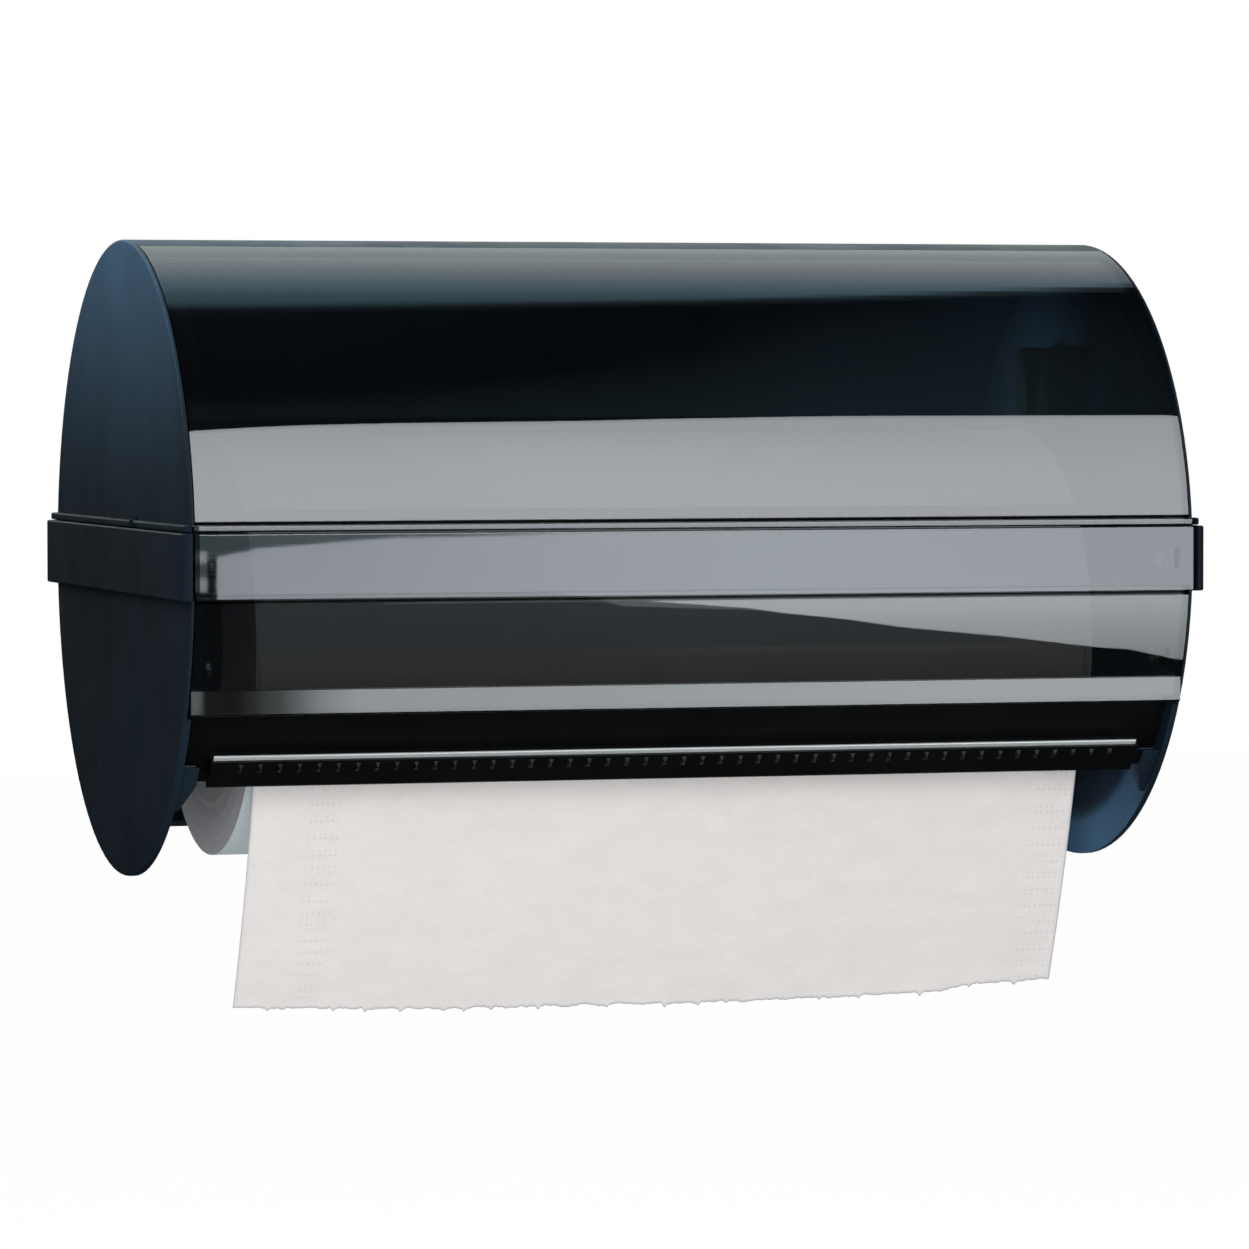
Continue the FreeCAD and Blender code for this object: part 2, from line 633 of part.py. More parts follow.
def tear_tooth():
    """One raised tooth on the bar's face: four slopes that meet in a point near its upper end."""
    face = -BAR_RADIUS
    top = BAR_HEIGHT / 2 - TOOTH_DROP
    foot = top - TOOTH_HEIGHT
    back = face + 0.5
    half = TOOTH_WIDTH / 2
    tip = face - TOOTH_REACH
    shoulder = top - TOOTH_SHOULDER
    wedge = profile(-half, half, (back, top), (face, top), (tip, shoulder), (face, foot), (back, foot))
    ridge = [(-half, back), (-half, face), (0, tip), (half, face), (half, back), (-half, back)]
    outline = Part.makePolygon([Vector(x, y, foot) for x, y in ridge])
    return wedge.common(Part.Face(outline).extrude(Vector(0, 0, TOOTH_HEIGHT)))


def tear_bar():
    face = -BAR_RADIUS
    back = face + BAR_WALL
    top = BAR_HEIGHT / 2
    foot = -BAR_HEIGHT / 2
    half = BAR_LENGTH / 2
    body = profile(-half, half, (face, top), (face, foot), (face + BAR_LIP_WALL, foot),
                   (back, foot + BAR_WALL), (back, top))
    body = round_long_edges(body, BAR_FOOT_ROUND, (face, foot))
    body = round_long_edges(body, BAR_BACK_ROUND, (face + BAR_LIP_WALL, foot))
    first = -(TOOTH_COUNT - 1) / 2 * TOOTH_PITCH
    teeth = [tear_tooth().translated(Vector(first + i * TOOTH_PITCH, 0, 0)) for i in range(TOOTH_COUNT)]
    slot_half = half - STRIP_END_WALL
    slot = block(-slot_half, slot_half, face + STRIP_SETBACK, face + STRIP_SETBACK + STRIP_WALL,
                 top - STRIP_DEPTH, top + 1)
    body = at_bar(fuse(body, *teeth).cut(slot))
    inside = block(-half + 1, half - 1, -FAR, FAR, -FAR, FAR)
    keys = tenon(0).cut(inside)
    return cut(fuse(body, keys), at_bar(slot), *bar_screw_holes())


def tear_bar_edge_strip():
    face = -BAR_RADIUS + STRIP_SETBACK
    top = BAR_HEIGHT / 2
    half = BAR_LENGTH / 2 - STRIP_END_WALL - SEAT_GAP
    edge = top + STRIP_SHOW
    strip = block(-half, half, face, face + STRIP_WALL, top - STRIP_DEPTH, edge)
    return at_bar(round_long_edges(strip, STRIP_ROUND, (face, edge), (face + STRIP_WALL, edge)))


def bar_screw_places():
    third = BAR_LENGTH / 3
    return (-third, 0.0, third)


def bar_screw_holes():
    depth = BAR_WALL - STRIP_SETBACK - STRIP_WALL - 1
    tip = -BAR_RADIUS + BAR_WALL - depth
    drop = -BAR_HEIGHT / 2 + BAR_WALL + SCREW_DIAMETER
    return [at_bar(Part.makeCylinder(SCREW_DIAMETER / 2, FAR, Vector(x, tip, drop), Vector(0, 1, 0)))
            for x in bar_screw_places()]


def tear_bar_screws():
    """Three screws from inside the carrier into the bar's back."""
    depth = BAR_WALL - STRIP_SETBACK - STRIP_WALL - 1
    tip = -BAR_RADIUS + BAR_WALL - depth
    seat = -CARRIER_RADIUS + CARRIER_WALL - HEAD_SEAT_DEPTH
    drop = -BAR_HEIGHT / 2 + BAR_WALL + SCREW_DIAMETER
    shapes = []
    for x in bar_screw_places():
        shank = Part.makeCylinder(SCREW_DIAMETER / 2, seat - tip + 1, Vector(x, tip, drop), Vector(0, 1, 0))
        head = Part.makeCylinder(HEAD_DIAMETER / 2, HEAD_HEIGHT, Vector(x, seat, drop), Vector(0, 1, 0))
        shapes.append(at_bar(fuse(shank, head)))
    return shapes


def tear_bar_carrier():
    """The dark apron between the ledge and the tear bar, with a screw tab at each end."""
    r_in = CARRIER_RADIUS - CARRIER_WALL
    top = 180 + CARRIER_TOP_ANGLE
    foot = 180 + BAR_ANGLE + math.degrees((BAR_HEIGHT / 2 - CARRIER_FOOT_INSET) / BAR_RADIUS)
    end = 180 + CARRIER_WIDE_ANGLE
    reach = INNER - GUSSET_REACH - BAR_END_GAP
    wide_reach = INNER - PANEL_CLEARANCE
    middle = sector(r_in, CARRIER_RADIUS, top, foot, -reach, reach)
    wide = sector(r_in, CARRIER_RADIUS, top, end, -wide_reach, wide_reach)
    y, z = carrier_screw_point()
    half = BOSS_DIAMETER / 2
    x1 = INNER - BOSS_HEIGHT
    tab = profile(x1 - TAB_WALL, x1, (y + half, z - half), (y + half, z + half),
                  on_circle(r_in + 1, z + half), on_circle(r_in + 1, z - half))
    seat = HEAD_DIAMETER / 2 + HEAD_GAP
    flat = -CARRIER_RADIUS + CARRIER_WALL - HEAD_SEAT_DEPTH
    seats = [at_bar(block(x - seat, x + seat, flat, flat + HEAD_HEIGHT, -BAR_HEIGHT, BAR_HEIGHT))
             for x in bar_screw_places()]
    body = fuse(middle, wide, *both_sides(tab))
    holes = both_sides(screw_hole(x1 - TAB_WALL - 1, INNER, y, z)) + bar_screw_holes() + seats
    return cut(body, *holes)


# Roll, core, hubs, spindle, sheet
def roll_x(side):
    return ROLL_SHIFT + side * ROLL_WIDTH / 2


def paper_roll():
    outer = rod(ROLL_RADIUS, roll_x(-1), roll_x(1), ROLL_Y, ROLL_Z)
    return outer.cut(rod(CORE_RADIUS + CORE_WALL, -FAR, FAR, ROLL_Y, ROLL_Z))


def roll_core():
    outer = rod(CORE_RADIUS + CORE_WALL, roll_x(-1), roll_x(1), ROLL_Y, ROLL_Z)
    return outer.cut(rod(CORE_RADIUS, -FAR, FAR, ROLL_Y, ROLL_Z))


def right_hub():
    """A spoked plug in the core's end with a flange outside it, turning on the spindle."""
    x0 = roll_x(1)
    plug_end = x0 - HUB_PLUG_LENGTH
    face = x0 + HUB_FLANGE_WALL
    boss = ROD_RADIUS + HUB_RUNNING_GAP + HUB_BOSS_WALL
    ring = rod(CORE_RADIUS, plug_end, x0, ROLL_Y, ROLL_Z)
    ring = ring.cut(rod(CORE_RADIUS - HUB_RING_WALL, -FAR, FAR, ROLL_Y, ROLL_Z))
    flange = rod(HUB_FLANGE / 2, x0, face, ROLL_Y, ROLL_Z)
    middle = rod(boss, plug_end, face, ROLL_Y, ROLL_Z)
    half = HUB_SPOKE_WALL / 2
    reach = CORE_RADIUS - HUB_RING_WALL / 2
    spokes = [block(plug_end, x0, ROLL_Y - half, ROLL_Y + half, ROLL_Z - reach, ROLL_Z + reach),
              block(plug_end, x0, ROLL_Y - reach, ROLL_Y + reach, ROLL_Z - half, ROLL_Z + half)]
    body = fuse(ring, flange, middle, *spokes)
    return body.cut(rod(ROD_RADIUS + HUB_RUNNING_GAP, -FAR, FAR, ROLL_Y, ROLL_Z))


def left_hub():
    return right_hub().mirror(Vector(ROLL_SHIFT, 0, 0), X_AXIS)


def spindle_rod():
    shape = rod(ROD_RADIUS, -ROD_LENGTH / 2, ROD_LENGTH / 2, ROLL_Y, ROLL_Z)
    ends = [e for e in shape.Edges if isinstance(e.Curve, Part.Circle)]
    return shape.makeChamfer(ROD_CHAMFER, ends)


def paper_sheet():
    """The free end: a short way round the roll, then down and back to its torn foot."""
    r_in = ROLL_RADIUS + SHEET_GAP
    r_out = r_in + SHEET_WALL
    lean = math.radians(SHEET_LEAN)
    run = (SHEET_DROP - r_in * math.sin(lean)) / math.cos(lean)

    def on_roll(radius, turn):
        y, z = polar(radius, 180 + turn)
        return (ROLL_Y + y, ROLL_Z + z)

    def at_foot(radius):
        y, z = on_roll(radius, SHEET_LEAN)
        return (y + run * math.sin(lean), z - run * math.cos(lean))

    x0 = ROLL_SHIFT - SHEET_WIDTH / 2
    x1 = ROLL_SHIFT + SHEET_WIDTH / 2
    half_turn = SHEET_LEAN / 2
    sheet = profile(x0, x1, on_roll(r_out, 0), (on_roll(r_out, half_turn), on_roll(r_out, SHEET_LEAN)),
                    at_foot(r_out), at_foot(r_in), on_roll(r_in, SHEET_LEAN),
                    (on_roll(r_in, half_turn), on_roll(r_in, 0)))
    low = ROLL_Z - SHEET_DROP
    foot = Part.Arc(Vector(x0 - 1, 0, low + SHEET_SIDE_RISE), Vector(ROLL_SHIFT, 0, low + 0.2),
                    Vector(x1 + 1, 0, low + SHEET_SIDE_RISE)).toShape()
    corners = [foot.lastVertex().Point, Vector(x1 + 1, 0, low - 9), Vector(x0 - 1, 0, low - 9),
               foot.firstVertex().Point]
    wire = Part.Wire([foot] + Part.makePolygon(corners).Edges)
    waste = Part.Face(wire).extrude(Vector(0, -FAR, 0))
    return sheet.cut(waste)


# Upright spindle guide
def right_roll_guide():
    x_in = INNER - GUIDE_DEPTH
    y0 = ROLL_Y - GUIDE_WIDTH / 2
    y1 = ROLL_Y + GUIDE_WIDTH / 2
    foot = ROLL_Z - GUIDE_FOOT
    slot_back = INNER - COVER_SIDE_GAP - GUIDE_BACK_WALL
    half = ROD_RADIUS + ROD_SLOT_GAP
    neck0 = ROLL_Y - GUIDE_NECK_WIDTH / 2
    neck1 = ROLL_Y + GUIDE_NECK_WIDTH / 2
    neck_top = GUIDE_TOP - GUIDE_FLARE_HEIGHT
    body = profile(x_in, INNER, (y0, GUIDE_TOP), (neck0, neck_top), (neck0, foot), (neck1, foot),
                   (neck1, neck_top), (y1, GUIDE_TOP))
    body = round_long_edges(body, GUIDE_CORNER, (y0, GUIDE_TOP), (y1, GUIDE_TOP),
                            (neck0, foot), (neck1, foot))
    slot = profile(x_in - 1, slot_back, (ROLL_Y - half, FAR), (ROLL_Y - half, ROLL_Z),
                   ((ROLL_Y, ROLL_Z - half), (ROLL_Y + half, ROLL_Z)), (ROLL_Y + half, FAR))
    wide = FUNNEL_WIDTH / 2
    funnel = profile(x_in - 1, slot_back, (ROLL_Y - half, GUIDE_TOP - FUNNEL_HEIGHT),
                     (ROLL_Y + half, GUIDE_TOP - FUNNEL_HEIGHT), (ROLL_Y + wide, GUIDE_TOP + 1),
                     (ROLL_Y - wide, GUIDE_TOP + 1))
    relief = block(INNER - COVER_SIDE_GAP, INNER + 1, y0 - 1, y1 + 1, SPLIT_Z - 1, FAR)
    return cut(body, slot, funnel, relief, *guide_pockets(x_in, neck0, neck1, half))


def guide_pockets(x_in, y0, y1, slot_half):
    """Hollows from the wall side, one each side of the slot, above and below the upper screws."""
    wall = GUIDE_POCKET_WALL
    low = ROLL_Z + GUIDE_WEB
    spans = [(low, -GUIDE_WEB), (GUIDE_WEB, GUIDE_TOP - FUNNEL_HEIGHT)]
    pockets = []
    for z0, z1 in spans:
        pockets.append(block(x_in + wall, INNER + 1, y0 + wall, ROLL_Y - slot_half - wall, z0, z1))
        pockets.append(block(x_in + wall, INNER + 1, ROLL_Y + slot_half + wall, y1 - wall, z0, z1))
    y, z = guide_screw_points()[2]
    pockets.append(rod(BOSS_DIAMETER / 2 + COVER_SIDE_GAP, INNER - BOSS_HEIGHT, INNER + 1, y, z))
    for y, z in guide_screw_points():
        pockets.append(screw_hole(x_in - 1, INNER + 1, y, z))
    return pockets


def guide_screws():
    x_in = INNER - GUIDE_DEPTH
    shapes = []
    for y, z in guide_screw_points():
        shapes += both_sides(screw(x_in, y, z, INNER + END_WALL - 1))
    return shapes


def panel_screws():
    shapes = []
    for y, z in panel_screw_points():
        shapes += both_sides(screw(INNER - BOSS_HEIGHT - TAB_WALL, y, z, INNER + END_WALL - 1))
    return shapes


def carrier_screws():
    y, z = carrier_screw_point()
    return both_sides(screw(INNER - BOSS_HEIGHT - TAB_WALL, y, z, INNER + END_WALL - 1))


# Latches
def right_latch():
    """A slide with a post that stands behind the cover's end wall, level with the key notch."""
    x1 = LATCH_FACE
    half = LATCH_WIDTH / 2
    body = block(x1 - LATCH_WALL, x1, LATCH_Y - half, LATCH_Y + half, SPLIT_Z - LATCH_DROP, SPLIT_Z - 2)
    post_half = half - HOUSING_WALL
    top = SPLIT_Z + LATCH_POST_RISE
    post = block(x1 - LATCH_POST_WALL, x1, LATCH_Y - post_half, LATCH_Y + post_half, SPLIT_Z - 3, top)
    edge = [e for e in post.Edges if e.BoundBox.ZMin > top - 1e-6 and e.BoundBox.YLength > 1]
    return fuse(body, post.makeChamfer(1.0, edge))


def right_latch_spring():
    """A bowed leaf between the latch and the cap of its housing."""
    outer = LATCH_FACE - LATCH_WALL
    cap = LATCH_CAP
    middle = SPLIT_Z - LATCH_DROP / 2
    half = LEAF_SPAN / 2
    y0 = LATCH_Y - LEAF_WIDTH / 2
    front = Part.Arc(Vector(outer, y0, middle - half), Vector(cap + LEAF_WALL, y0, middle),
                     Vector(outer, y0, middle + half)).toShape()
    back = Part.Arc(Vector(outer - LEAF_WALL, y0, middle + half), Vector(cap, y0, middle),
                    Vector(outer - LEAF_WALL, y0, middle - half)).toShape()
    upper = Part.makeLine(front.lastVertex().Point, back.firstVertex().Point)
    lower = Part.makeLine(back.lastVertex().Point, front.firstVertex().Point)
    face = Part.Face(Part.Wire([front, upper, back, lower]))
    return face.extrude(Vector(0, LEAF_WIDTH, 0))


# Wall bracket, lock screw and hinge pins
def wall_bracket():
    half_x = HOLE_SPACING_X / 2 + HOLE_MARGIN
    half_z = HOLE_SPACING_Z / 2 + HOLE_MARGIN
    plate = block(-half_x, half_x, BRACKET_FACE, AXIS_TO_WALL, PATTERN_Z - half_z, PATTERN_Z + half_z)
    corners = [e for e in plate.Edges if e.BoundBox.YLength > BRACKET_WALL / 2]
    plate = plate.makeFillet(BRACKET_CORNER, corners)
    pieces = [plate, lock_tab()]
    lip_back = BRACKET_FACE - PEDESTAL_WALL - HOOK_GAP
    for x in hook_places():
        x0 = x - HOOK_WIDTH / 2
        x1 = x + HOOK_WIDTH / 2
        low = PATTERN_Z - BRACKET_WALL
        pieces.append(block(x0, x1, lip_back - BRACKET_WALL, BRACKET_FACE + 1, low, PATTERN_Z))
        pieces.append(block(x0, x1, lip_back - BRACKET_WALL, lip_back, low, PATTERN_Z + HOOK_HEIGHT))
    holes = []
    for x in (-HOLE_SPACING_X / 2, HOLE_SPACING_X / 2):
        for z in (PATTERN_Z - HOLE_SPACING_Z / 2, PATTERN_Z + HOLE_SPACING_Z / 2):
            start = Vector(x, BRACKET_FACE - 1, z)
            holes.append(Part.makeCylinder(HOLE_DIAMETER / 2, BRACKET_WALL + 2, start, Vector(0, 1, 0)))
    lock = Part.makeCylinder(SCREW_DIAMETER / 2 + 0.4, FAR, Vector(0, lock_screw_y(), -FAR))
    lock = lock.common(bottom_of(PEDESTAL_BOTTOM))
    return cut(fuse(*pieces), lock, *holes)


def lock_tab():
    half = LOCK_TAB_WIDTH / 2
    return block(-half, half, BRACKET_FACE - LOCK_TAB_DEPTH, BRACKET_FACE + 1,
                 PEDESTAL_BOTTOM - BRACKET_WALL, PEDESTAL_BOTTOM)


def lock_screw_y():
    return BRACKET_FACE - LOCK_TAB_DEPTH / 2


def bracket_lock_screw():
    seat = PEDESTAL_BOTTOM - BRACKET_WALL
    length = BRACKET_WALL + PEDESTAL_WALL + SCREW_BITE - 1.5
    head = Part.makeCylinder(HEAD_DIAMETER / 2, HEAD_HEIGHT, Vector(0, lock_screw_y(), seat - HEAD_HEIGHT))
    shank = Part.makeCylinder(SCREW_DIAMETER / 2, length + 1, Vector(0, lock_screw_y(), seat - 1))
    return fuse(head, shank)


def hinge_pins():
    half = COVER_KNUCKLE / 2 + KNUCKLE_GAP + BASE_KNUCKLE
    pin = rod(PIN_DIAMETER / 2, -half, half, HINGE_Y, HINGE_Z)
    return [pin.translated(Vector(x, 0, 0)) for x in hinge_places()]


# Write one file for each piece
def write(name, shape):
    solids = shape if isinstance(shape, list) else [shape]
    placed = [solid.translated(Vector(0, -AXIS_TO_WALL, PATTERN_DROP)) for solid in solids]
    result = placed[0] if len(placed) == 1 else Part.makeCompound(placed)
    result.exportStep("parts/" + name + ".step")
    print(name, "solids", len(result.Solids), "valid", result.isValid(), "volume", round(result.Volume))


write("cover_frame", cover_frame())
write("cover_window", cover_window())
write("base_frame", base_frame())
write("lower_front_panel", lower_front_panel())
write("tear_bar", tear_bar())
write("tear_bar_edge_strip", tear_bar_edge_strip())
write("tear_bar_carrier", tear_bar_carrier())
write("paper_roll", paper_roll())
write("roll_core", roll_core())
write("right_hub", right_hub())
write("left_hub", left_hub())
write("spindle_rod", spindle_rod())
write("paper_sheet", paper_sheet())
write("right_roll_guide", right_roll_guide())
write("left_roll_guide", mirrored(right_roll_guide()))
write("right_latch", right_latch())
write("left_latch", mirrored(right_latch()))
write("right_latch_spring", right_latch_spring())
write("left_latch_spring", mirrored(right_latch_spring()))
write("hinge_pins", hinge_pins())
write("wall_bracket", wall_bracket())
write("bracket_lock_screw", bracket_lock_screw())
write("guide_screws", guide_screws())
write("panel_screws", panel_screws())
write("carrier_screws", carrier_screws())
write("tear_bar_screws", tear_bar_screws())
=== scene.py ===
import math
import random

import bpy
from mathutils import Matrix, Vector, noise


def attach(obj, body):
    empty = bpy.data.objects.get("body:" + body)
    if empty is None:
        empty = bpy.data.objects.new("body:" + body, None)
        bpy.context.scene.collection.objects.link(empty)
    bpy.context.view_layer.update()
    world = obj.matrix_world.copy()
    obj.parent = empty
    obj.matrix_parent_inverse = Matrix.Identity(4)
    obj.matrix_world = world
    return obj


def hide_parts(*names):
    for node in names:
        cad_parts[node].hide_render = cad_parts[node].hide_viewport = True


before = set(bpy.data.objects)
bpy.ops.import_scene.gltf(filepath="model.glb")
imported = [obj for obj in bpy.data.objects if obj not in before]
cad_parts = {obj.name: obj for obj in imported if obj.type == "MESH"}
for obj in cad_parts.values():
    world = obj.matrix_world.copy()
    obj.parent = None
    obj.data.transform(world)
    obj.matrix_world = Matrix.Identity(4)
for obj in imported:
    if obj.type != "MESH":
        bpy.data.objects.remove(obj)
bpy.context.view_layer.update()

# The drum's axis and the roll in the wall frame, repeated from the source, in metres
AXIS_Y = -0.1575
AXIS_Z = 0.046
ROLL_Y = AXIS_Y + 0.003
ROLL_Z = AXIS_Z - 0.036
ROLL_RADIUS = 0.087
CORE_RADIUS = 0.0205
ROLL_WIDTH = 0.3565
ROLL_SHIFT = 0.00525
ROLL_X0 = ROLL_SHIFT - ROLL_WIDTH / 2
ROLL_X1 = ROLL_SHIFT + ROLL_WIDTH / 2
ROLL_RINGS = 66
ROLL_SEGMENTS = 192
LAYER_STEP = 0.0002

# The hanging sheet: it stays on the roll for a while, then leans back more and more
SHEET_X0 = -0.1720
SHEET_X1 = 0.1805
SHEET_DROP = 0.150
SHEET_WALL = 0.00022
SHEET_LIFT = 0.0003
SHEET_ACROSS = 440
SHEET_DOWN = 54
SHEET_CROWDING = 1.6
WRAP_RADIUS = ROLL_RADIUS + SHEET_LIFT
WRAP_ANGLE = math.radians(13)
FOOT_ANGLE = math.radians(26)
FOOT_TWIST = math.radians(1.5)
WAVE_DEPTH = 0.0007
RIPPLE_DEPTH = 0.0005
DOT_BANDS = ((-0.1475, -0.1355), (0.1630, 0.1785))
DOTS_PER_METRE = 420

# The torn foot: how far it falls short in metres, and where from -1 at the left to 1 at the right
TEAR_START = -0.0004
TEAR_LEFT, TEAR_LEFT_FROM = 0.0060, 0.5
TEAR_RIGHT, TEAR_RIGHT_FROM, TEAR_RIGHT_POWER = 0.0052, 0.1, 1.7
TEAR_STEP, TEAR_STEP_FROM, TEAR_STEP_WIDTH = 0.0028, 0.70, 0.12
RAGGED_COARSE, RAGGED_FINE = 0.0010, 0.0007
NIB_COUNT = 17
NIB_SPAN = 0.97
NIB_REACH = (0.0009, 0.0024)
NIB_HALF_WIDTH = 0.0065
# How far from the foot and from the sides the painted shade line reaches, in metres
FOOT_SHADE_REACH = 0.0011
SIDE_SHADE_REACH = 0.006

# The photograph's camera
CAMERA_PLACE = (-0.75414, -2.69265, 0.11823)
CAMERA_YAW = -16.698
CAMERA_PITCH = -2.1015
CAMERA_ROLL = 0.6869
FOCAL_PIXELS = 6299.7
PHOTO_PIXELS = 1249
SENSOR = 36.0


def srgb(r, g, b):
    """A colour written as on screen, 0 to 255, as linear light."""
    out = []
    for value in (r, g, b):
        v = value / 255
        out.append(v / 12.92 if v <= 0.04045 else ((v + 0.055) / 1.055) ** 2.4)
    return (*out, 1.0)


def grey(value):
    return (value, value, value, 1.0)


def tones(colour, spread):
    """A darker and a lighter tone of one colour."""
    dark = tuple(v * (1 - spread) for v in colour[:3]) + (1.0,)
    light = tuple(v * (1 + spread) for v in colour[:3]) + (1.0,)
    return dark, light


def smooth(share):
    """0 to 1 with soft ends, held at both."""
    share = min(1.0, max(0.0, share))
    return share * share * (3 - 2 * share)


# Node helpers for materials, cards and the world
def add_node(tree, kind, **sockets):
    made = tree.nodes.new(kind)
    for name, value in sockets.items():
        made.inputs[name.replace("_", " ")].default_value = value
    return made


def bare_tree(owner):
    owner.use_nodes = True
    owner.node_tree.nodes.clear()
    return owner.node_tree


def fill_ramp(node, stops):
    band = node.color_ramp
    while len(band.elements) < len(stops):
        band.elements.new(0.5)
    for element, (place, colour) in zip(band.elements, stops):
        element.position = place
        element.color = colour


def blend(tree, share, a, b):
    """Two shaders mixed by a share."""
    made = add_node(tree, "ShaderNodeMixShader")
    for source, socket in zip((share, a, b), made.inputs):
        tree.links.new(source, socket)
    return made.outputs[0]


class Maker:
    """Builds one procedural material round a Principled shader."""

    def __init__(self, name):
        self.mat = bpy.data.materials.new(name)
        self.mat.use_nodes = True
        self.tree = self.mat.node_tree
        self.shader = self.tree.nodes["Principled BSDF"]
        self.place = self.node("ShaderNodeTexCoord").outputs["Object"]

    def node(self, kind, **sockets):
        return add_node(self.tree, kind, **sockets)

    def link(self, source, target):
        self.tree.links.new(source, target)

    def fill(self, sockets, values):
        """Links the values that are sockets and sets the others."""
        for socket, value in zip(sockets, values):
            if isinstance(value, bpy.types.NodeSocket):
                self.link(value, socket)
            elif value is not None:
                socket.default_value = value

    def set(self, **sockets):
        for name, value in sockets.items():
            self.shader.inputs[name.replace("_", " ")].default_value = value

    def scaled(self, x, y, z):
        """The object's own coordinates, multiplied."""
        made = self.node("ShaderNodeMapping", Scale=(x, y, z))
        self.link(self.place, made.inputs["Vector"])
        return made.outputs["Vector"]

    def split(self):
        made = self.node("ShaderNodeSeparateXYZ")
        self.link(self.place, made.inputs["Vector"])
        return made.outputs

    def grain(self, scale, detail=3.0, roughness=0.5, at=None):
        made = self.node("ShaderNodeTexNoise", Scale=scale, Detail=detail, Roughness=roughness)
        self.link(at or self.place, made.inputs["Vector"])
        return made.outputs["Fac"]

    def ramp(self, source, stops):
        made = self.node("ShaderNodeValToRGB")
        fill_ramp(made, stops)
        self.link(source, made.inputs["Fac"])
        return made.outputs["Color"]

    def remap(self, source, low, high, from_low=0.3, from_high=0.7):
        made = self.node("ShaderNodeMapRange", From_Min=from_low, From_Max=from_high,
                         To_Min=low, To_Max=high)
        self.link(source, made.inputs["Value"])
        return made.outputs["Result"]

    def mix(self, share, a, b, mode="MIX"):
        made = self.node("ShaderNodeMix")
        made.data_type = "RGBA"
        made.blend_type = mode
        open_sockets = {s.name: s for s in made.inputs if s.enabled}
        self.fill([open_sockets[name] for name in ("Factor", "A", "B")], (share, a, b))
        return [s for s in made.outputs if s.enabled][0]

    def math(self, operation, a, b=None):
        made = self.node("ShaderNodeMath")
        made.operation = operation
        self.fill(made.inputs, (a, b))
        return made.outputs[0]

    def bump(self, height, strength, distance, under=None):
        made = self.node("ShaderNodeBump", Strength=strength, Distance=distance)
        self.link(height, made.inputs["Height"])
        if under is not None:
            self.link(under, made.inputs["Normal"])
        return made.outputs["Normal"]

    def worn(self, base, rubbed, width, amount):
        """Edges rubbed to a lighter tone, in patches."""
        soft = self.node("ShaderNodeBevel", Radius=width)
        soft.samples = 3
        flat = self.node("ShaderNodeNewGeometry")
        turn = self.node("ShaderNodeVectorMath")
        turn.operation = "DOT_PRODUCT"
        self.fill(turn.inputs, (soft.outputs["Normal"], flat.outputs["Normal"]))
        edge = self.remap(turn.outputs["Value"], 1.0, 0.0, from_low=0.78, from_high=0.98)
        patch = self.remap(self.grain(90.0, 5.0, 0.65), 0.0, amount, from_low=0.4, from_high=0.66)
        return self.mix(self.math("MULTIPLY", edge, patch), base, rubbed)

    def finish(self, colour, roughness, normal):
        for source, name in ((colour, "Base Color"), (roughness, "Roughness"), (normal, "Normal")):
            self.link(source, self.shader.inputs[name])
        return self.mat


# Materials
def moulded(name, colour, rough, rubbed, spread=0.14, depth=0.00005, specular=0.5):
    """Moulded plastic: fine spark-eroded grain, faint cloudy tone, uneven gloss, rubbed edges."""
    m = Maker(name)
    dark, light = tones(colour, spread)
    base = m.ramp(m.grain(14.0, 4.0), [(0.35, dark), (0.65, light)])
    speck = m.ramp(m.grain(1900.0, 2.0), [(0.42, grey(0.9)), (0.62, grey(1.08))])
    base = m.mix(1.0, base, speck, "MULTIPLY")
    base = m.worn(base, rubbed, width=0.0006, amount=0.55)
    gloss = m.remap(m.grain(32.0, 5.0, 0.6), rough - 0.06, rough + 0.07)
    skin = m.bump(m.grain(1300.0, 3.0, 0.6), strength=0.5, distance=depth)
    flow = m.bump(m.grain(9.0, 2.0), strength=0.1, distance=0.0006, under=skin)
    m.set(Specular_IOR_Level=specular)
    return m.finish(base, gloss, flow)


def polished(name, colour, alpha, ior):
    """Polished smoke plastic that can be seen through: hairlines from wiping, and painted shade in the
    grooves, which turn near-black, opaque and glossless.

    The crevice reach stays below the wall, or the far side of the wall would count as one."""
    # Reach, alpha and near-black colour of the painted shade in the grooves
    crevice_reach, crevice_alpha, groove_shade = 0.0014, 0.99, grey(0.0006)
    m = Maker(name)
    dark, light = tones(colour, 0.12)
    base = m.ramp(m.grain(6.0, 2.0), [(0.4, dark), (0.6, light)])
    hair = m.grain(1.0, 4.0, 0.7, at=m.scaled(7, 700, 700))
    gloss = m.remap(hair, 0.006, 0.02)
    # Painted shade: where a near wall is found, the surface turns near-black, opaque and loses its gloss,
    # in place of the grooves' shade and dark reflection.
    near = m.node("ShaderNodeAmbientOcclusion", Distance=crevice_reach)
    near.samples = 6
    open_share = m.remap(near.outputs["AO"], 0.0, 1.0, from_low=0.6, from_high=0.93)
    base = m.mix(open_share, groove_shade, base)
    m.link(m.remap(open_share, crevice_alpha, alpha, 0.0, 1.0), m.shader.inputs["Alpha"])
    m.link(m.math("MULTIPLY", open_share, 0.5), m.shader.inputs["Specular IOR Level"])
    m.set(IOR=ior)
    m.mat.surface_render_method = "BLENDED"
    return m.finish(base, gloss, m.bump(hair, strength=0.03, distance=0.00001))


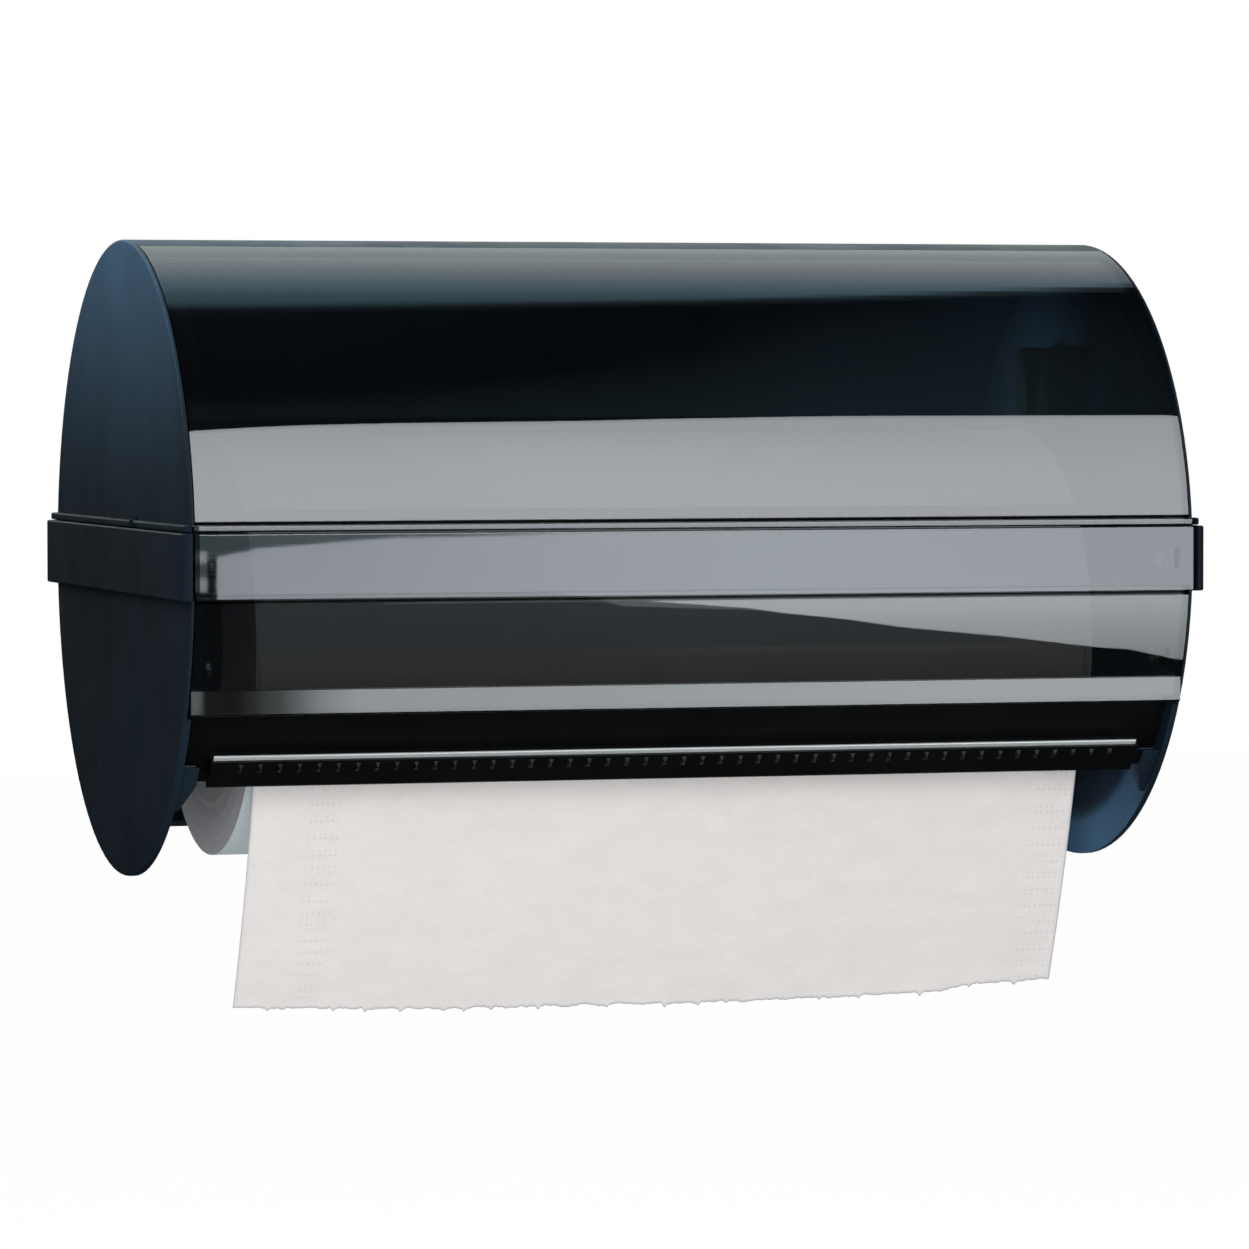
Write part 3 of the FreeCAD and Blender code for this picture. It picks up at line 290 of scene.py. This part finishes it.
def metal(name, colour, rough, along=(6.0, 1400.0, 1400.0), metallic=1.0):
    """Drawn or brushed metal with its lines one way."""
    m = Maker(name)
    dark, light = tones(colour, 0.12)
    lines = m.grain(1.0, 4.0, 0.6, at=m.scaled(*along))
    base = m.ramp(lines, [(0.35, dark), (0.65, light)])
    gloss = m.remap(lines, rough - 0.07, rough + 0.09)
    m.set(Metallic=metallic)
    return m.finish(base, gloss, m.bump(lines, strength=0.35, distance=0.00004))


def painted(name, colour, rubbed):
    """Powder-painted pressed steel with orange-peel skin."""
    m = Maker(name)
    dark, light = tones(colour, 0.1)
    base = m.ramp(m.grain(30.0, 4.0), [(0.4, dark), (0.6, light)])
    base = m.worn(base, rubbed, width=0.0005, amount=0.7)
    peel = m.bump(m.grain(520.0, 2.0), strength=0.45, distance=0.00012)
    return m.finish(base, m.remap(m.grain(70.0, 3.0), 0.38, 0.52), peel)


def board(name, colour):
    """Brown board with its fibres."""
    m = Maker(name)
    dark, light = tones(colour, 0.28)
    fibre = m.grain(1.0, 5.0, 0.65, at=m.scaled(700, 240, 240))
    base = m.ramp(fibre, [(0.3, dark), (0.7, light)])
    gloss = m.remap(fibre, 0.82, 0.96)
    return m.finish(base, gloss, m.bump(fibre, strength=0.5, distance=0.00012))


def paper(name, colour):
    """Matt creped paper: fibres, faint clouds and a soft nap."""
    m = Maker(name)
    dark, light = tones(colour, 0.022)
    fibre = m.grain(900.0, 5.0, 0.7)
    cloud = m.grain(1.0, 4.0, 0.6, at=m.scaled(60, 110, 110))
    base = m.ramp(cloud, [(0.35, dark), (0.65, light)])
    specks = m.ramp(fibre, [(0.3, (0.965, 0.965, 0.96, 1)), (0.6, grey(1.015))])
    m.base = m.mix(1.0, base, specks, "MULTIPLY")
    m.skin = m.bump(fibre, strength=0.4, distance=0.0001)
    m.gloss = m.remap(fibre, 0.86, 0.98)
    m.set(Specular_IOR_Level=0.25)
    return m


def roll_face(colour):
    m = paper("roll_face", colour)
    return m.finish(m.base, m.gloss, m.skin)


def sheet_face(colour, pressed, edge_shade):
    """The hanging sheet: two upright bands of pressed dots, and a grey-blue line of painted shade along its
    ragged foot and, fainter, along its sides.
    """
    m = paper("sheet_face", colour)
    x = m.split()["X"]
    bands = 0.0
    for low, high in DOT_BANDS:
        up = m.remap(x, 0.0, 1.0, low - 0.002, low + 0.001)
        down = m.remap(x, 1.0, 0.0, high - 0.001, high + 0.002)
        bands = m.math("ADD", m.math("MULTIPLY", up, down), bands)
    dots = m.node("ShaderNodeTexVoronoi", Scale=1.0, Randomness=0.25)
    m.link(m.scaled(*[DOTS_PER_METRE] * 3), dots.inputs["Vector"])
    pit = m.math("MULTIPLY", bands, m.remap(dots.outputs["Distance"], 1.0, 0.0, 0.1, 0.4))
    base = m.mix(m.math("MULTIPLY", pit, 0.5), m.base, pressed)
    # Painted shade: near the foot and the sides the paper turns grey-blue, a thin dark outline.
    edge = m.node("ShaderNodeAttribute")
    edge.attribute_name = "edge"
    base = m.mix(m.math("MULTIPLY", edge.outputs["Fac"], 0.8), base, edge_shade)
    return m.finish(base, m.gloss, m.bump(pit, strength=-0.5, distance=0.00025, under=m.skin))


def roll_edges(colour):
    """The cut end of a tightly wound roll: faint rings round the core."""
    m = paper("paper_edges", colour)
    place = m.split()
    y = m.math("SUBTRACT", place["Y"], ROLL_Y)
    z = m.math("SUBTRACT", place["Z"], ROLL_Z)
    radius = m.math("SQRT", m.math("ADD", m.math("MULTIPLY", y, y), m.math("MULTIPLY", z, z)))
    join = m.node("ShaderNodeCombineXYZ")
    m.link(m.math("MULTIPLY", radius, 1700.0), join.inputs["X"])
    m.link(m.math("MULTIPLY", m.math("ARCTAN2", y, z), 1.3), join.inputs["Y"])
    rings = m.grain(1.0, 3.0, 0.6, at=join.outputs["Vector"])
    shade = m.ramp(rings, [(0.32, grey(0.93)), (0.62, grey(1.0))])
    base = m.mix(0.9, m.base, shade, "MULTIPLY")
    return m.finish(base, m.gloss, m.bump(rings, strength=0.5, distance=0.0002, under=m.skin))


SHELL = moulded("shell_plastic", srgb(23, 36, 47), 0.5, srgb(36, 52, 62), specular=0.15)
SMOKE = polished("smoke_plastic", srgb(8, 10, 12), alpha=0.56, ior=2.65)
BLACK = moulded("black_plastic", srgb(9, 10, 12), 0.4, srgb(34, 36, 40), 0.12, 0.00004, 0.3)
DARK = moulded("dark_plastic", srgb(13, 16, 18), 0.5, srgb(36, 40, 44), specular=0.3)
STEEL = metal("bright_steel", srgb(205, 208, 210), 0.27)
# Painted shade: the guide screws' steel is darkened to sit as dark as the shaded gap they are in, without a
# glint.
GAP_SHADE_STEEL = metal("gap_shade_steel", srgb(46, 48, 52), 0.42)
STRIP = metal("satin_strip", srgb(206, 212, 211), 0.4, metallic=0.45)
SPRING = metal("spring_steel", srgb(170, 174, 178), 0.3, along=(900.0, 8.0, 900.0))
PAINT = painted("bracket_paint", srgb(96, 102, 108), rubbed=srgb(150, 150, 150))
BOARD = board("core_board", srgb(158, 124, 86))
ROLL_FACE = roll_face(srgb(209, 221, 224))
# The sheet's last colour is painted shade: a grey-blue line along its foot and sides.
SHEET = sheet_face(srgb(225, 221, 219), pressed=srgb(196, 192, 190), edge_shade=srgb(150, 154, 162))
ROLL_END = roll_edges(srgb(206, 206, 210))

FINISHES = {
    "cover_frame": SHELL, "base_frame": SHELL, "cover_window": SMOKE, "lower_front_panel": SMOKE,
    "tear_bar": BLACK, "tear_bar_carrier": BLACK, "tear_bar_edge_strip": STRIP,
    "tear_bar_screws": STEEL, "carrier_screws": STEEL, "panel_screws": STEEL, "guide_screws": GAP_SHADE_STEEL,
    "right_roll_guide": DARK, "left_roll_guide": DARK, "spindle_rod": STEEL, "right_hub": DARK,
    "left_hub": DARK, "roll_core": BOARD, "right_latch": DARK, "left_latch": DARK,
    "right_latch_spring": SPRING, "left_latch_spring": SPRING, "hinge_pins": STEEL,
    "wall_bracket": PAINT, "bracket_lock_screw": STEEL,
}


def dress_cad_nodes():
    for name, finish in FINISHES.items():
        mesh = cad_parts[name].data
        mesh.materials.clear()
        mesh.materials.append(finish)


def new_piece(name, points, faces, finishes, body, marks=None):
    """A smooth piece; marks give the number of each face's finish."""
    mesh = bpy.data.meshes.new(name)
    mesh.from_pydata(points, [], faces)
    for finish in finishes:
        mesh.materials.append(finish)
    for i, polygon in enumerate(mesh.polygons):
        polygon.use_smooth = True
        if marks:
            polygon.material_index = marks[i]
    mesh.update()
    piece = bpy.data.objects.new(name, mesh)
    bpy.context.scene.collection.objects.link(piece)
    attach(piece, body)
    return piece


# The roll: a wound body with uneven layer edges
def layer_offset(side, radius, turn):
    """How far one layer's edge lies inside the roll's end, in metres."""
    coarse = noise.noise(Vector((radius * 420, side * 7.0, math.cos(turn) * 0.4)))
    fine = noise.noise(Vector((radius * 2600, side * 3.0, math.sin(turn) * 0.5)))
    return -LAYER_STEP * (abs(coarse) + abs(fine))


def build_roll():
    points, faces, marks = [], [], []
    last = ROLL_RINGS - 1
    for side, x in ((-1, ROLL_X0), (1, ROLL_X1)):
        for i in range(ROLL_RINGS):
            radius = CORE_RADIUS + (ROLL_RADIUS - CORE_RADIUS) * i / last
            for k in range(ROLL_SEGMENTS):
                turn = 2 * math.pi * k / ROLL_SEGMENTS
                edge = 0.0 if i in (0, last) else layer_offset(side, radius, turn)
                points.append((x + side * edge, ROLL_Y + radius * math.cos(turn),
                               ROLL_Z + radius * math.sin(turn)))

    def at(side, i, k):
        return (side * ROLL_RINGS + i) * ROLL_SEGMENTS + k % ROLL_SEGMENTS

    for side in (0, 1):
        for i in range(last):
            for k in range(ROLL_SEGMENTS):
                quad = (at(side, i, k), at(side, i, k + 1), at(side, i + 1, k + 1), at(side, i + 1, k))
                faces.append(quad if side == 0 else quad[::-1])
                marks.append(1)
    for k in range(ROLL_SEGMENTS):
        faces.append((at(0, last, k), at(0, last, k + 1), at(1, last, k + 1), at(1, last, k)))
        faces.append((at(0, 0, k), at(1, 0, k), at(1, 0, k + 1), at(0, 0, k + 1)))
        marks += [0, 0]
    roll = new_piece("wound_paper", points, faces, [ROLL_FACE, ROLL_END], "roll", marks)
    edges = roll.modifiers.new("split", "EDGE_SPLIT")
    edges.split_angle = math.radians(50)
    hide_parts("paper_roll")


# The hanging end of the paper: it leans back under its own curl and is torn along its foot
def sheet_path(s, foot_angle, length):
    """Place on the sheet's line in the Y-Z plane, s metres from the roll's foremost line."""
    wrap = WRAP_RADIUS * WRAP_ANGLE
    if s <= wrap:
        turn = s / WRAP_RADIUS
        return -WRAP_RADIUS * math.cos(turn), -WRAP_RADIUS * math.sin(turn)
    bend = (foot_angle - WRAP_ANGLE) / length
    angle = WRAP_ANGLE + bend * (s - wrap)
    y = -WRAP_RADIUS * math.cos(WRAP_ANGLE) + (math.cos(WRAP_ANGLE) - math.cos(angle)) / bend
    z = -WRAP_RADIUS * math.sin(WRAP_ANGLE) - (math.sin(angle) - math.sin(WRAP_ANGLE)) / bend
    return y, z


def free_length():
    """How long the sheet is below the roll, so that its foot hangs SHEET_DROP under the roll's axis."""
    share = (math.sin(FOOT_ANGLE) - math.sin(WRAP_ANGLE)) / (FOOT_ANGLE - WRAP_ANGLE)
    return (SHEET_DROP - WRAP_RADIUS * math.sin(WRAP_ANGLE)) / share


def draw_nibs():
    """Small tongues of paper left by the teeth: place across the sheet and reach."""
    picker = random.Random(11)
    nibs = []
    for i in range(NIB_COUNT):
        place = -NIB_SPAN + 2 * NIB_SPAN * (i + picker.uniform(0.1, 0.9)) / NIB_COUNT
        nibs.append((place, picker.uniform(*NIB_REACH)))
    return nibs


def tear(u, nibs):
    """How far the ragged foot falls short at one place across the sheet, in metres."""
    short = TEAR_START + TEAR_LEFT * max(0.0, -u - TEAR_LEFT_FROM)
    short += TEAR_RIGHT * max(0.0, u - TEAR_RIGHT_FROM) ** TEAR_RIGHT_POWER
    short += TEAR_STEP * smooth((u - TEAR_STEP_FROM) / TEAR_STEP_WIDTH)
    short += RAGGED_COARSE * noise.noise(Vector((u * 23, 3.1, 0)))
    short += RAGGED_FINE * noise.noise(Vector((u * 80, 9.2, 0)))
    for place, reach in nibs:
        short -= reach * max(0.0, 1 - abs(u - place) / NIB_HALF_WIDTH)
    return short


def build_sheet():
    length = free_length()
    full = length + WRAP_RADIUS * WRAP_ANGLE
    nibs = draw_nibs()
    points, faces, edge = [], [], []
    for j in range(SHEET_DOWN + 1):
        v = 1 - (1 - j / SHEET_DOWN) ** SHEET_CROWDING
        for i in range(SHEET_ACROSS + 1):
            u = 2 * i / SHEET_ACROSS - 1
            reach = full - tear(u, nibs)
            s = v * reach
            y, z = sheet_path(s, FOOT_ANGLE - FOOT_TWIST * u, length)
            wave = WAVE_DEPTH * v * v * math.sin(u * 4.1 + 0.7)
            wave += RIPPLE_DEPTH * v * noise.noise(Vector((u * 3.2, v * 2.4, 1.0)))
            x = (SHEET_X0 + SHEET_X1) / 2 + u * (SHEET_X1 - SHEET_X0) / 2
            points.append((x, ROLL_Y + y - abs(wave) * v, ROLL_Z + z))
            # Share of the painted shade line: full at the foot, 0.6 at the sides
            foot = max(0.0, 1 - (reach - s) / FOOT_SHADE_REACH)
            side = max(0.0, 1 - (1 - abs(u)) / SIDE_SHADE_REACH)
            edge.append(max(foot, 0.6 * side))
    row = SHEET_ACROSS + 1
    for j in range(SHEET_DOWN):
        for i in range(SHEET_ACROSS):
            a = j * row + i
            faces.append((a, a + row, a + row + 1, a + 1))
    sheet = new_piece("hanging_paper", points, faces, [SHEET], "base")
    sheet.data.attributes.new("edge", "FLOAT", "POINT").data.foreach_set("value", edge)
    wall = sheet.modifiers.new("wall", "SOLIDIFY")
    wall.thickness = SHEET_WALL
    wall.offset = 0.0
    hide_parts("paper_sheet")


# Studio: the world, the pale floor and the lamps
WORLD_TINT = (0.96, 0.98, 1.0, 1)
WORLD_LIGHT = 0.42
WORLD_IN_GLOSS = (0.01, 0.012, 0.014, 1)
FLOOR_Z = -0.62
FLOOR_HALF = 9
FLOOR_GREY = 0.82
FLOOR_GLOW = 1.06
FLOOR_GLOW_SHARE = 0.9

# Name, place, aim, size, power in watts, colour and spread in degrees. The key lights the front, the
# side lamp the left end from above, the low and inner lamps the right end's inner face, and the
# back lamp the wall side.
LAMPS = [
    ("key", (-0.8, -2.7, 0.32), (0, AXIS_Y, 0), (2.2, 1.6), 46, (1, 1, 1), 180),
    ("side", (-0.4145, -0.16, 0.296), (-0.2145, -0.16, 0.2027), (0.26, 0.04), 0.6, (0.85, 0.95, 1.0), 48),
    ("low", (0.09, -0.16, -0.106), (0.2085, -0.245, -0.055), (0.06, 0.02), 0.28, (0.8, 0.92, 1.0), 110),
    ("back", (0.9, 1.9, 1.5), (0, AXIS_Y, 0), (1.4, 1.4), 14, (1, 1, 1), 180),
    ("inner", (0.10, -0.115, 0.11), (0.2085, -0.118, 0.10), (0.04, 0.03), 0.11, (0.8, 0.95, 1.05), 76),
]


def add_stage_mesh(name, points, faces, finish):
    mesh = bpy.data.meshes.new(name)
    mesh.from_pydata(points, [], faces)
    mesh.materials.append(finish)
    thing = bpy.data.objects.new(name, mesh)
    bpy.context.scene.collection.objects.link(thing)
    return thing


def build_world():
    """White for the camera, nearly black in gloss and a soft light for the rest."""
    world = bpy.data.worlds.new("studio")
    bpy.context.scene.world = world
    tree = bare_tree(world)
    path = add_node(tree, "ShaderNodeLightPath").outputs
    room = add_node(tree, "ShaderNodeBackground", Color=WORLD_TINT, Strength=WORLD_LIGHT)
    dark = add_node(tree, "ShaderNodeBackground", Color=WORLD_IN_GLOSS)
    white = add_node(tree, "ShaderNodeBackground", Color=grey(1.0))
    seen = blend(tree, path["Is Glossy Ray"], room.outputs[0], dark.outputs[0])
    seen = blend(tree, path["Is Camera Ray"], seen, white.outputs[0])
    tree.links.new(seen, add_node(tree, "ShaderNodeOutputWorld").inputs["Surface"])


def build_floor():
    """A matt floor that is nearly white for the camera and still keeps the shadow."""
    finish = bpy.data.materials.new("floor")
    tree = bare_tree(finish)
    path = add_node(tree, "ShaderNodeLightPath")
    share = add_node(tree, "ShaderNodeMath")
    share.operation = "MULTIPLY"
    share.inputs[1].default_value = FLOOR_GLOW_SHARE
    tree.links.new(path.outputs["Is Camera Ray"], share.inputs[0])
    matte = add_node(tree, "ShaderNodeBsdfDiffuse", Color=grey(FLOOR_GREY))
    white = add_node(tree, "ShaderNodeEmission", Strength=FLOOR_GLOW)
    seen = blend(tree, share.outputs[0], matte.outputs[0], white.outputs[0])
    tree.links.new(seen, add_node(tree, "ShaderNodeOutputMaterial").inputs["Surface"])
    corners = [(x * FLOOR_HALF, y * FLOOR_HALF, FLOOR_Z) for x, y in ((-1, -1), (1, -1), (1, 1), (-1, 1))]
    floor = add_stage_mesh("floor", corners, [(0, 1, 2, 3)], finish)
    floor.visible_glossy = False


def add_lamp(name, place, aim, size, power, colour, spread):
    data = bpy.data.lights.new(name, "AREA")
    data.shape = "RECTANGLE"
    data.size, data.size_y = size
    data.energy = power
    data.color = colour
    data.spread = math.radians(spread)
    lamp = bpy.data.objects.new(name, data)
    bpy.context.scene.collection.objects.link(lamp)
    lamp.location = place
    lamp.rotation_mode = "QUATERNION"
    lamp.rotation_quaternion = (Vector(aim) - Vector(place)).to_track_quat("-Z", "Y")
    lamp.visible_glossy = False
    lamp.visible_camera = False


# What the glossy plastic mirrors: cards in a plane before the drum, as outlines in X and in Z from the
# axis, each with its share of light along X or Z. Only gloss sees them.
CARD_DISTANCE = 2.6
CARD_STRENGTH = 2.68
CARD_TINT = (0.93, 1.0, 1.03, 1)
CARD_END = 2.90
CARD_FOOT = -0.14
LEDGE_FOOT = -0.25

# The window: a tall pale field, its upper edge falling to the left
UPPER_TINT = (0.965, 1.0, 1.05, 1)
UPPER_CARD = [
    (0.30, 0.20), (CARD_END, 0.20), (CARD_END, 3.00), (1.818, 3.26), (1.824, 3.295), (1.811, 3.33),
    (1.802, 3.38), (1.778, 3.42), (1.723, 3.435), (1.39, 3.28), (1.225, 3.20), (1.125, 3.125),
    (0.89, 3.037), (0.77, 2.96), (0.704, 2.878), (0.63, 2.766), (0.60, 2.70), (0.30, 2.20)]
UPPER_SHARES = [(0.2, 0.95), (1.2, 0.95), (1.7, 0.93), (2.4, 0.87), (3.4, 0.82)]

# The band: pale, with a dark wedge at its left end
BAND_TINT = (0.925, 1.0, 1.09, 1)
BAND_CARD = [
    (0.30, 0.20), (0.30, -0.047), (0.68, -0.049), (0.60, -0.051), (0.515, -0.052), (0.435, -0.0575),
    (0.40, -0.06), (0.3675, -0.0665), (0.3675, CARD_FOOT), (CARD_END, CARD_FOOT), (CARD_END, 0.20)]
BAND_SHARES = [(0.36, 0.68), (0.45, 0.70), (0.60, 0.78), (0.85, 0.86), (1.20, 0.83), (CARD_END, 0.83)]

# The ledge: pale, fading out in steps towards its left end
LEDGE_JOIN = 0.60
LEDGE_LEFT = 0.3525
LEDGE_END_CARD = [(LEDGE_LEFT, CARD_FOOT), (LEDGE_LEFT, LEDGE_FOOT), (LEDGE_JOIN, LEDGE_FOOT),
                  (LEDGE_JOIN, CARD_FOOT)]
LEDGE_END_SHARES = [
    (LEDGE_LEFT, 0.26), (0.359, 0.26), (0.364, 0.02), (0.390, 0.02), (0.4055, 0.065), (0.4155, 0.12),
    (0.4255, 0.15), (0.442, 0.32), (0.4585, 0.55), (0.4915, 0.80), (LEDGE_JOIN, 0.84)]
LEDGE_CARD = [(LEDGE_JOIN, CARD_FOOT), (LEDGE_JOIN, LEDGE_FOOT), (CARD_END, LEDGE_FOOT),
              (CARD_END, CARD_FOOT)]
LEDGE_SHARES = [(LEDGE_JOIN, 0.84), (1.0, 0.97), (CARD_END, 0.88)]

# The lower panel: pale above an edge that falls to the right
LOWER_CARD = [
    (0.40, LEDGE_FOOT), (0.62, -0.60), (0.717, -0.738), (0.74, -0.809), (0.863, -0.907),
    (0.916, -0.985), (0.975, -1.096), (1.044, -1.256), (1.11, -1.37), (1.175, -1.48), (1.251, -1.626),
    (1.333, -1.785), (1.377, -1.848), (1.427, -1.974), (1.449, -2.025), (1.48, -2.105), (1.60, -2.35),
    (CARD_END, -2.50), (CARD_END, LEDGE_FOOT)]
LOWER_SHARES = [(-2.5, 0.5), (-1.9, 0.6), (-1.2, 0.76), (-0.8, 0.95), (LEDGE_FOOT, 0.9)]

# Two small fields at the band's left end, the teal one behind the band's card
END_TOP = -0.0615
END_FOOT = -0.094
END_CARD = [(0.30, END_TOP), (0.3597, END_TOP), (0.3597, END_FOOT), (0.30, END_FOOT)]
END_SHARES = [(END_FOOT, 0.5), (-0.086, 0.6), (-0.081, 0.14), (-0.073, 0.14), (-0.069, 0.6), (END_TOP, 0.5)]
TEAL_CARD = [(0.28, -0.040), (0.75, -0.040), (0.75, -0.056), (0.40, -0.068), (0.28, -0.074)]
TEAL_TINT = (0.65, 0.95, 1.05, 1)
TEAL_SHARE = 0.13
TEAL_SETBACK = 0.02


def only_in_gloss(card):
    card.visible_camera = False
    card.visible_diffuse = False
    card.visible_transmission = False
    card.visible_volume_scatter = False
    card.visible_shadow = False


def glow_finish(name, strength, tint):
    """A material that only gives light, and its shader."""
    finish = bpy.data.materials.new(name)
    tree = bare_tree(finish)
    glow = add_node(tree, "ShaderNodeEmission", Strength=strength, Color=tint)
    tree.links.new(glow.outputs[0], add_node(tree, "ShaderNodeOutputMaterial").inputs["Surface"])
    return finish, glow


def shade_glow(tree, glow, tint, axis, shares):
    """Spreads a card's light along X or Z by its table, in metres from the drum's axis."""
    low, high = shares[0][0], shares[-1][0]
    lift = AXIS_Z if axis == "Z" else 0.0
    place = add_node(tree, "ShaderNodeTexCoord")
    split = add_node(tree, "ShaderNodeSeparateXYZ")
    span = add_node(tree, "ShaderNodeMapRange", From_Min=low + lift, From_Max=high + lift)
    ramp = add_node(tree, "ShaderNodeValToRGB")
    fill_ramp(ramp, [((at - low) / (high - low), tuple(share * t for t in tint[:3]) + (1.0,))
                     for at, share in shares])
    tree.links.new(place.outputs["Object"], split.inputs["Vector"])
    tree.links.new(split.outputs[axis], span.inputs["Value"])
    tree.links.new(span.outputs["Result"], ramp.inputs["Fac"])
    tree.links.new(ramp.outputs["Color"], glow.inputs["Color"])


def add_card(name, outline, tint, axis=None, shares=None, share=1.0, setback=0.0):
    finish, glow = glow_finish(name + "_glow", CARD_STRENGTH * share, tint)
    if shares:
        shade_glow(finish.node_tree, glow, tint, axis, shares)
    points = [(x, AXIS_Y - CARD_DISTANCE - setback, AXIS_Z + z) for x, z in outline]
    only_in_gloss(add_stage_mesh(name, points, [tuple(range(len(points)))], finish))


def build_cards():
    add_card("upper_card", UPPER_CARD, UPPER_TINT, "Z", UPPER_SHARES)
    add_card("band_card", BAND_CARD, BAND_TINT, "X", BAND_SHARES)
    add_card("ledge_end_card", LEDGE_END_CARD, CARD_TINT, "X", LEDGE_END_SHARES)
    add_card("ledge_card", LEDGE_CARD, CARD_TINT, "X", LEDGE_SHARES)
    add_card("lower_card", LOWER_CARD, CARD_TINT, "Z", LOWER_SHARES)
    add_card("end_card", END_CARD, CARD_TINT, "Z", END_SHARES)
    add_card("teal_card", TEAL_CARD, TEAL_TINT, share=TEAL_SHARE, setback=TEAL_SETBACK)


# The arched ceiling, mirrored by the drum's top: tables by height, in degrees round the arch from the
# front, or by X in metres
CEILING_RADIUS = 3.0
CEILING_HALF = 2.6
CEILING_FIRST = 51.5
CEILING_STEP = 0.4
CEILING_ROWS = 296
CEILING_COLUMNS = 53
CEILING_TINTS = [(103, (0.55, 1.0, 1.25)), (113, (0.60, 1.0, 1.22)), (122, (0.80, 1.0, 1.17)),
                 (132, (0.92, 1.0, 1.05)), (145, (0.88, 1.02, 1.0)), (170, (0.88, 1.02, 1.0))]
CEILING_LIGHT = [(51, 0.0), (99, 0.0), (100, 0.26), (109, 0.35), (113, 0.50), (117.5, 0.60), (122, 0.75),
                 (127, 0.88), (132, 0.99), (138, 1.14), (145, 1.26), (153, 1.44), (170, 1.6)]
CEILING_START = [(-2.6, 102.0), (0.40, 102.0), (0.58, 103.0), (0.93, 106.5), (1.11, 110.0),
                 (1.29, 115.5), (1.50, 122.0), (2.6, 150.0)]
CEILING_BLUR = [(-2.6, 7.0), (0.58, 6.0), (0.93, 2.6), (1.29, 0.8), (2.6, 0.5)]
HAZE_END = [(-2.6, 60.0), (0.54, 61.0), (0.82, 74.0), (1.19, 118.0), (2.6, 118.0)]
HAZE_LIGHT = [(-2.6, 0.02), (0.54, 0.03), (0.82, 0.055), (1.19, 0.07), (1.32, 0.03), (2.6, 0.03)]


def along(table, at):
    """A value, or a set of three, read from a table between its two nearest rows."""
    for (a, low), (b, high) in zip(table, table[1:]):
        if at <= b:
            share = max(0.0, (at - a) / (b - a))
            if isinstance(low, tuple):
                return tuple(p + (q - p) * share for p, q in zip(low, high))
            return low + (high - low) * share
    return table[-1][1]


def ceiling_glow(x, height):
    """Light of the ceiling at one place; it starts softly on the left and sharply on the right."""
    start, blur = along(CEILING_START, x), along(CEILING_BLUR, x)
    light = along(CEILING_LIGHT, height) * smooth((height - start) / blur + 0.5)
    haze_end = along(HAZE_END, x)
    light += along(HAZE_LIGHT, x) * max(0.0, haze_end - height) / (haze_end - CEILING_FIRST)
    return tuple(light * t for t in along(CEILING_TINTS, height)) + (1.0,)


def build_ceiling():
    points, glow, faces = [], [], []
    for j in range(CEILING_ROWS):
        height = CEILING_FIRST + CEILING_STEP * j
        turn = math.radians(height)
        y = AXIS_Y - CEILING_RADIUS * math.cos(turn)
        z = AXIS_Z + CEILING_RADIUS * math.sin(turn)
        for i in range(CEILING_COLUMNS):
            x = CEILING_HALF * (2 * i / (CEILING_COLUMNS - 1) - 1)
            points.append((x, y, z))
            glow.extend(ceiling_glow(x, height))
    for j in range(CEILING_ROWS - 1):
        for i in range(CEILING_COLUMNS - 1):
            a = j * CEILING_COLUMNS + i
            faces.append((a, a + 1, a + CEILING_COLUMNS + 1, a + CEILING_COLUMNS))
    finish, shader = glow_finish("ceiling_glow", 1.0, grey(1.0))
    source = add_node(finish.node_tree, "ShaderNodeAttribute")
    source.attribute_name = "glow"
    finish.node_tree.links.new(source.outputs["Color"], shader.inputs["Color"])
    ceiling = add_stage_mesh("ceiling", points, faces, finish)
    ceiling.data.color_attributes.new("glow", "FLOAT_COLOR", "POINT").data.foreach_set("color", glow)
    only_in_gloss(ceiling)


def build_studio():
    build_world()
    build_floor()
    build_cards()
    build_ceiling()
    for lamp in LAMPS:
        add_lamp(*lamp)


def build_camera():
    def turn(axis, degrees):
        return Matrix.Rotation(math.radians(degrees), 4, axis)

    data = bpy.data.cameras.new("photo")
    data.sensor_width = SENSOR
    data.lens = FOCAL_PIXELS / PHOTO_PIXELS * SENSOR
    camera = bpy.data.objects.new("photo", data)
    bpy.context.scene.collection.objects.link(camera)
    look = turn("Y", CAMERA_ROLL) @ turn("X", CAMERA_PITCH) @ turn("Z", CAMERA_YAW) @ turn("X", 90)
    camera.matrix_world = Matrix.Translation(CAMERA_PLACE) @ look
    bpy.context.scene.camera = camera


dress_cad_nodes()
build_camera()
build_roll()
build_sheet()
build_studio()
bpy.context.scene.view_settings.view_transform = "Standard"
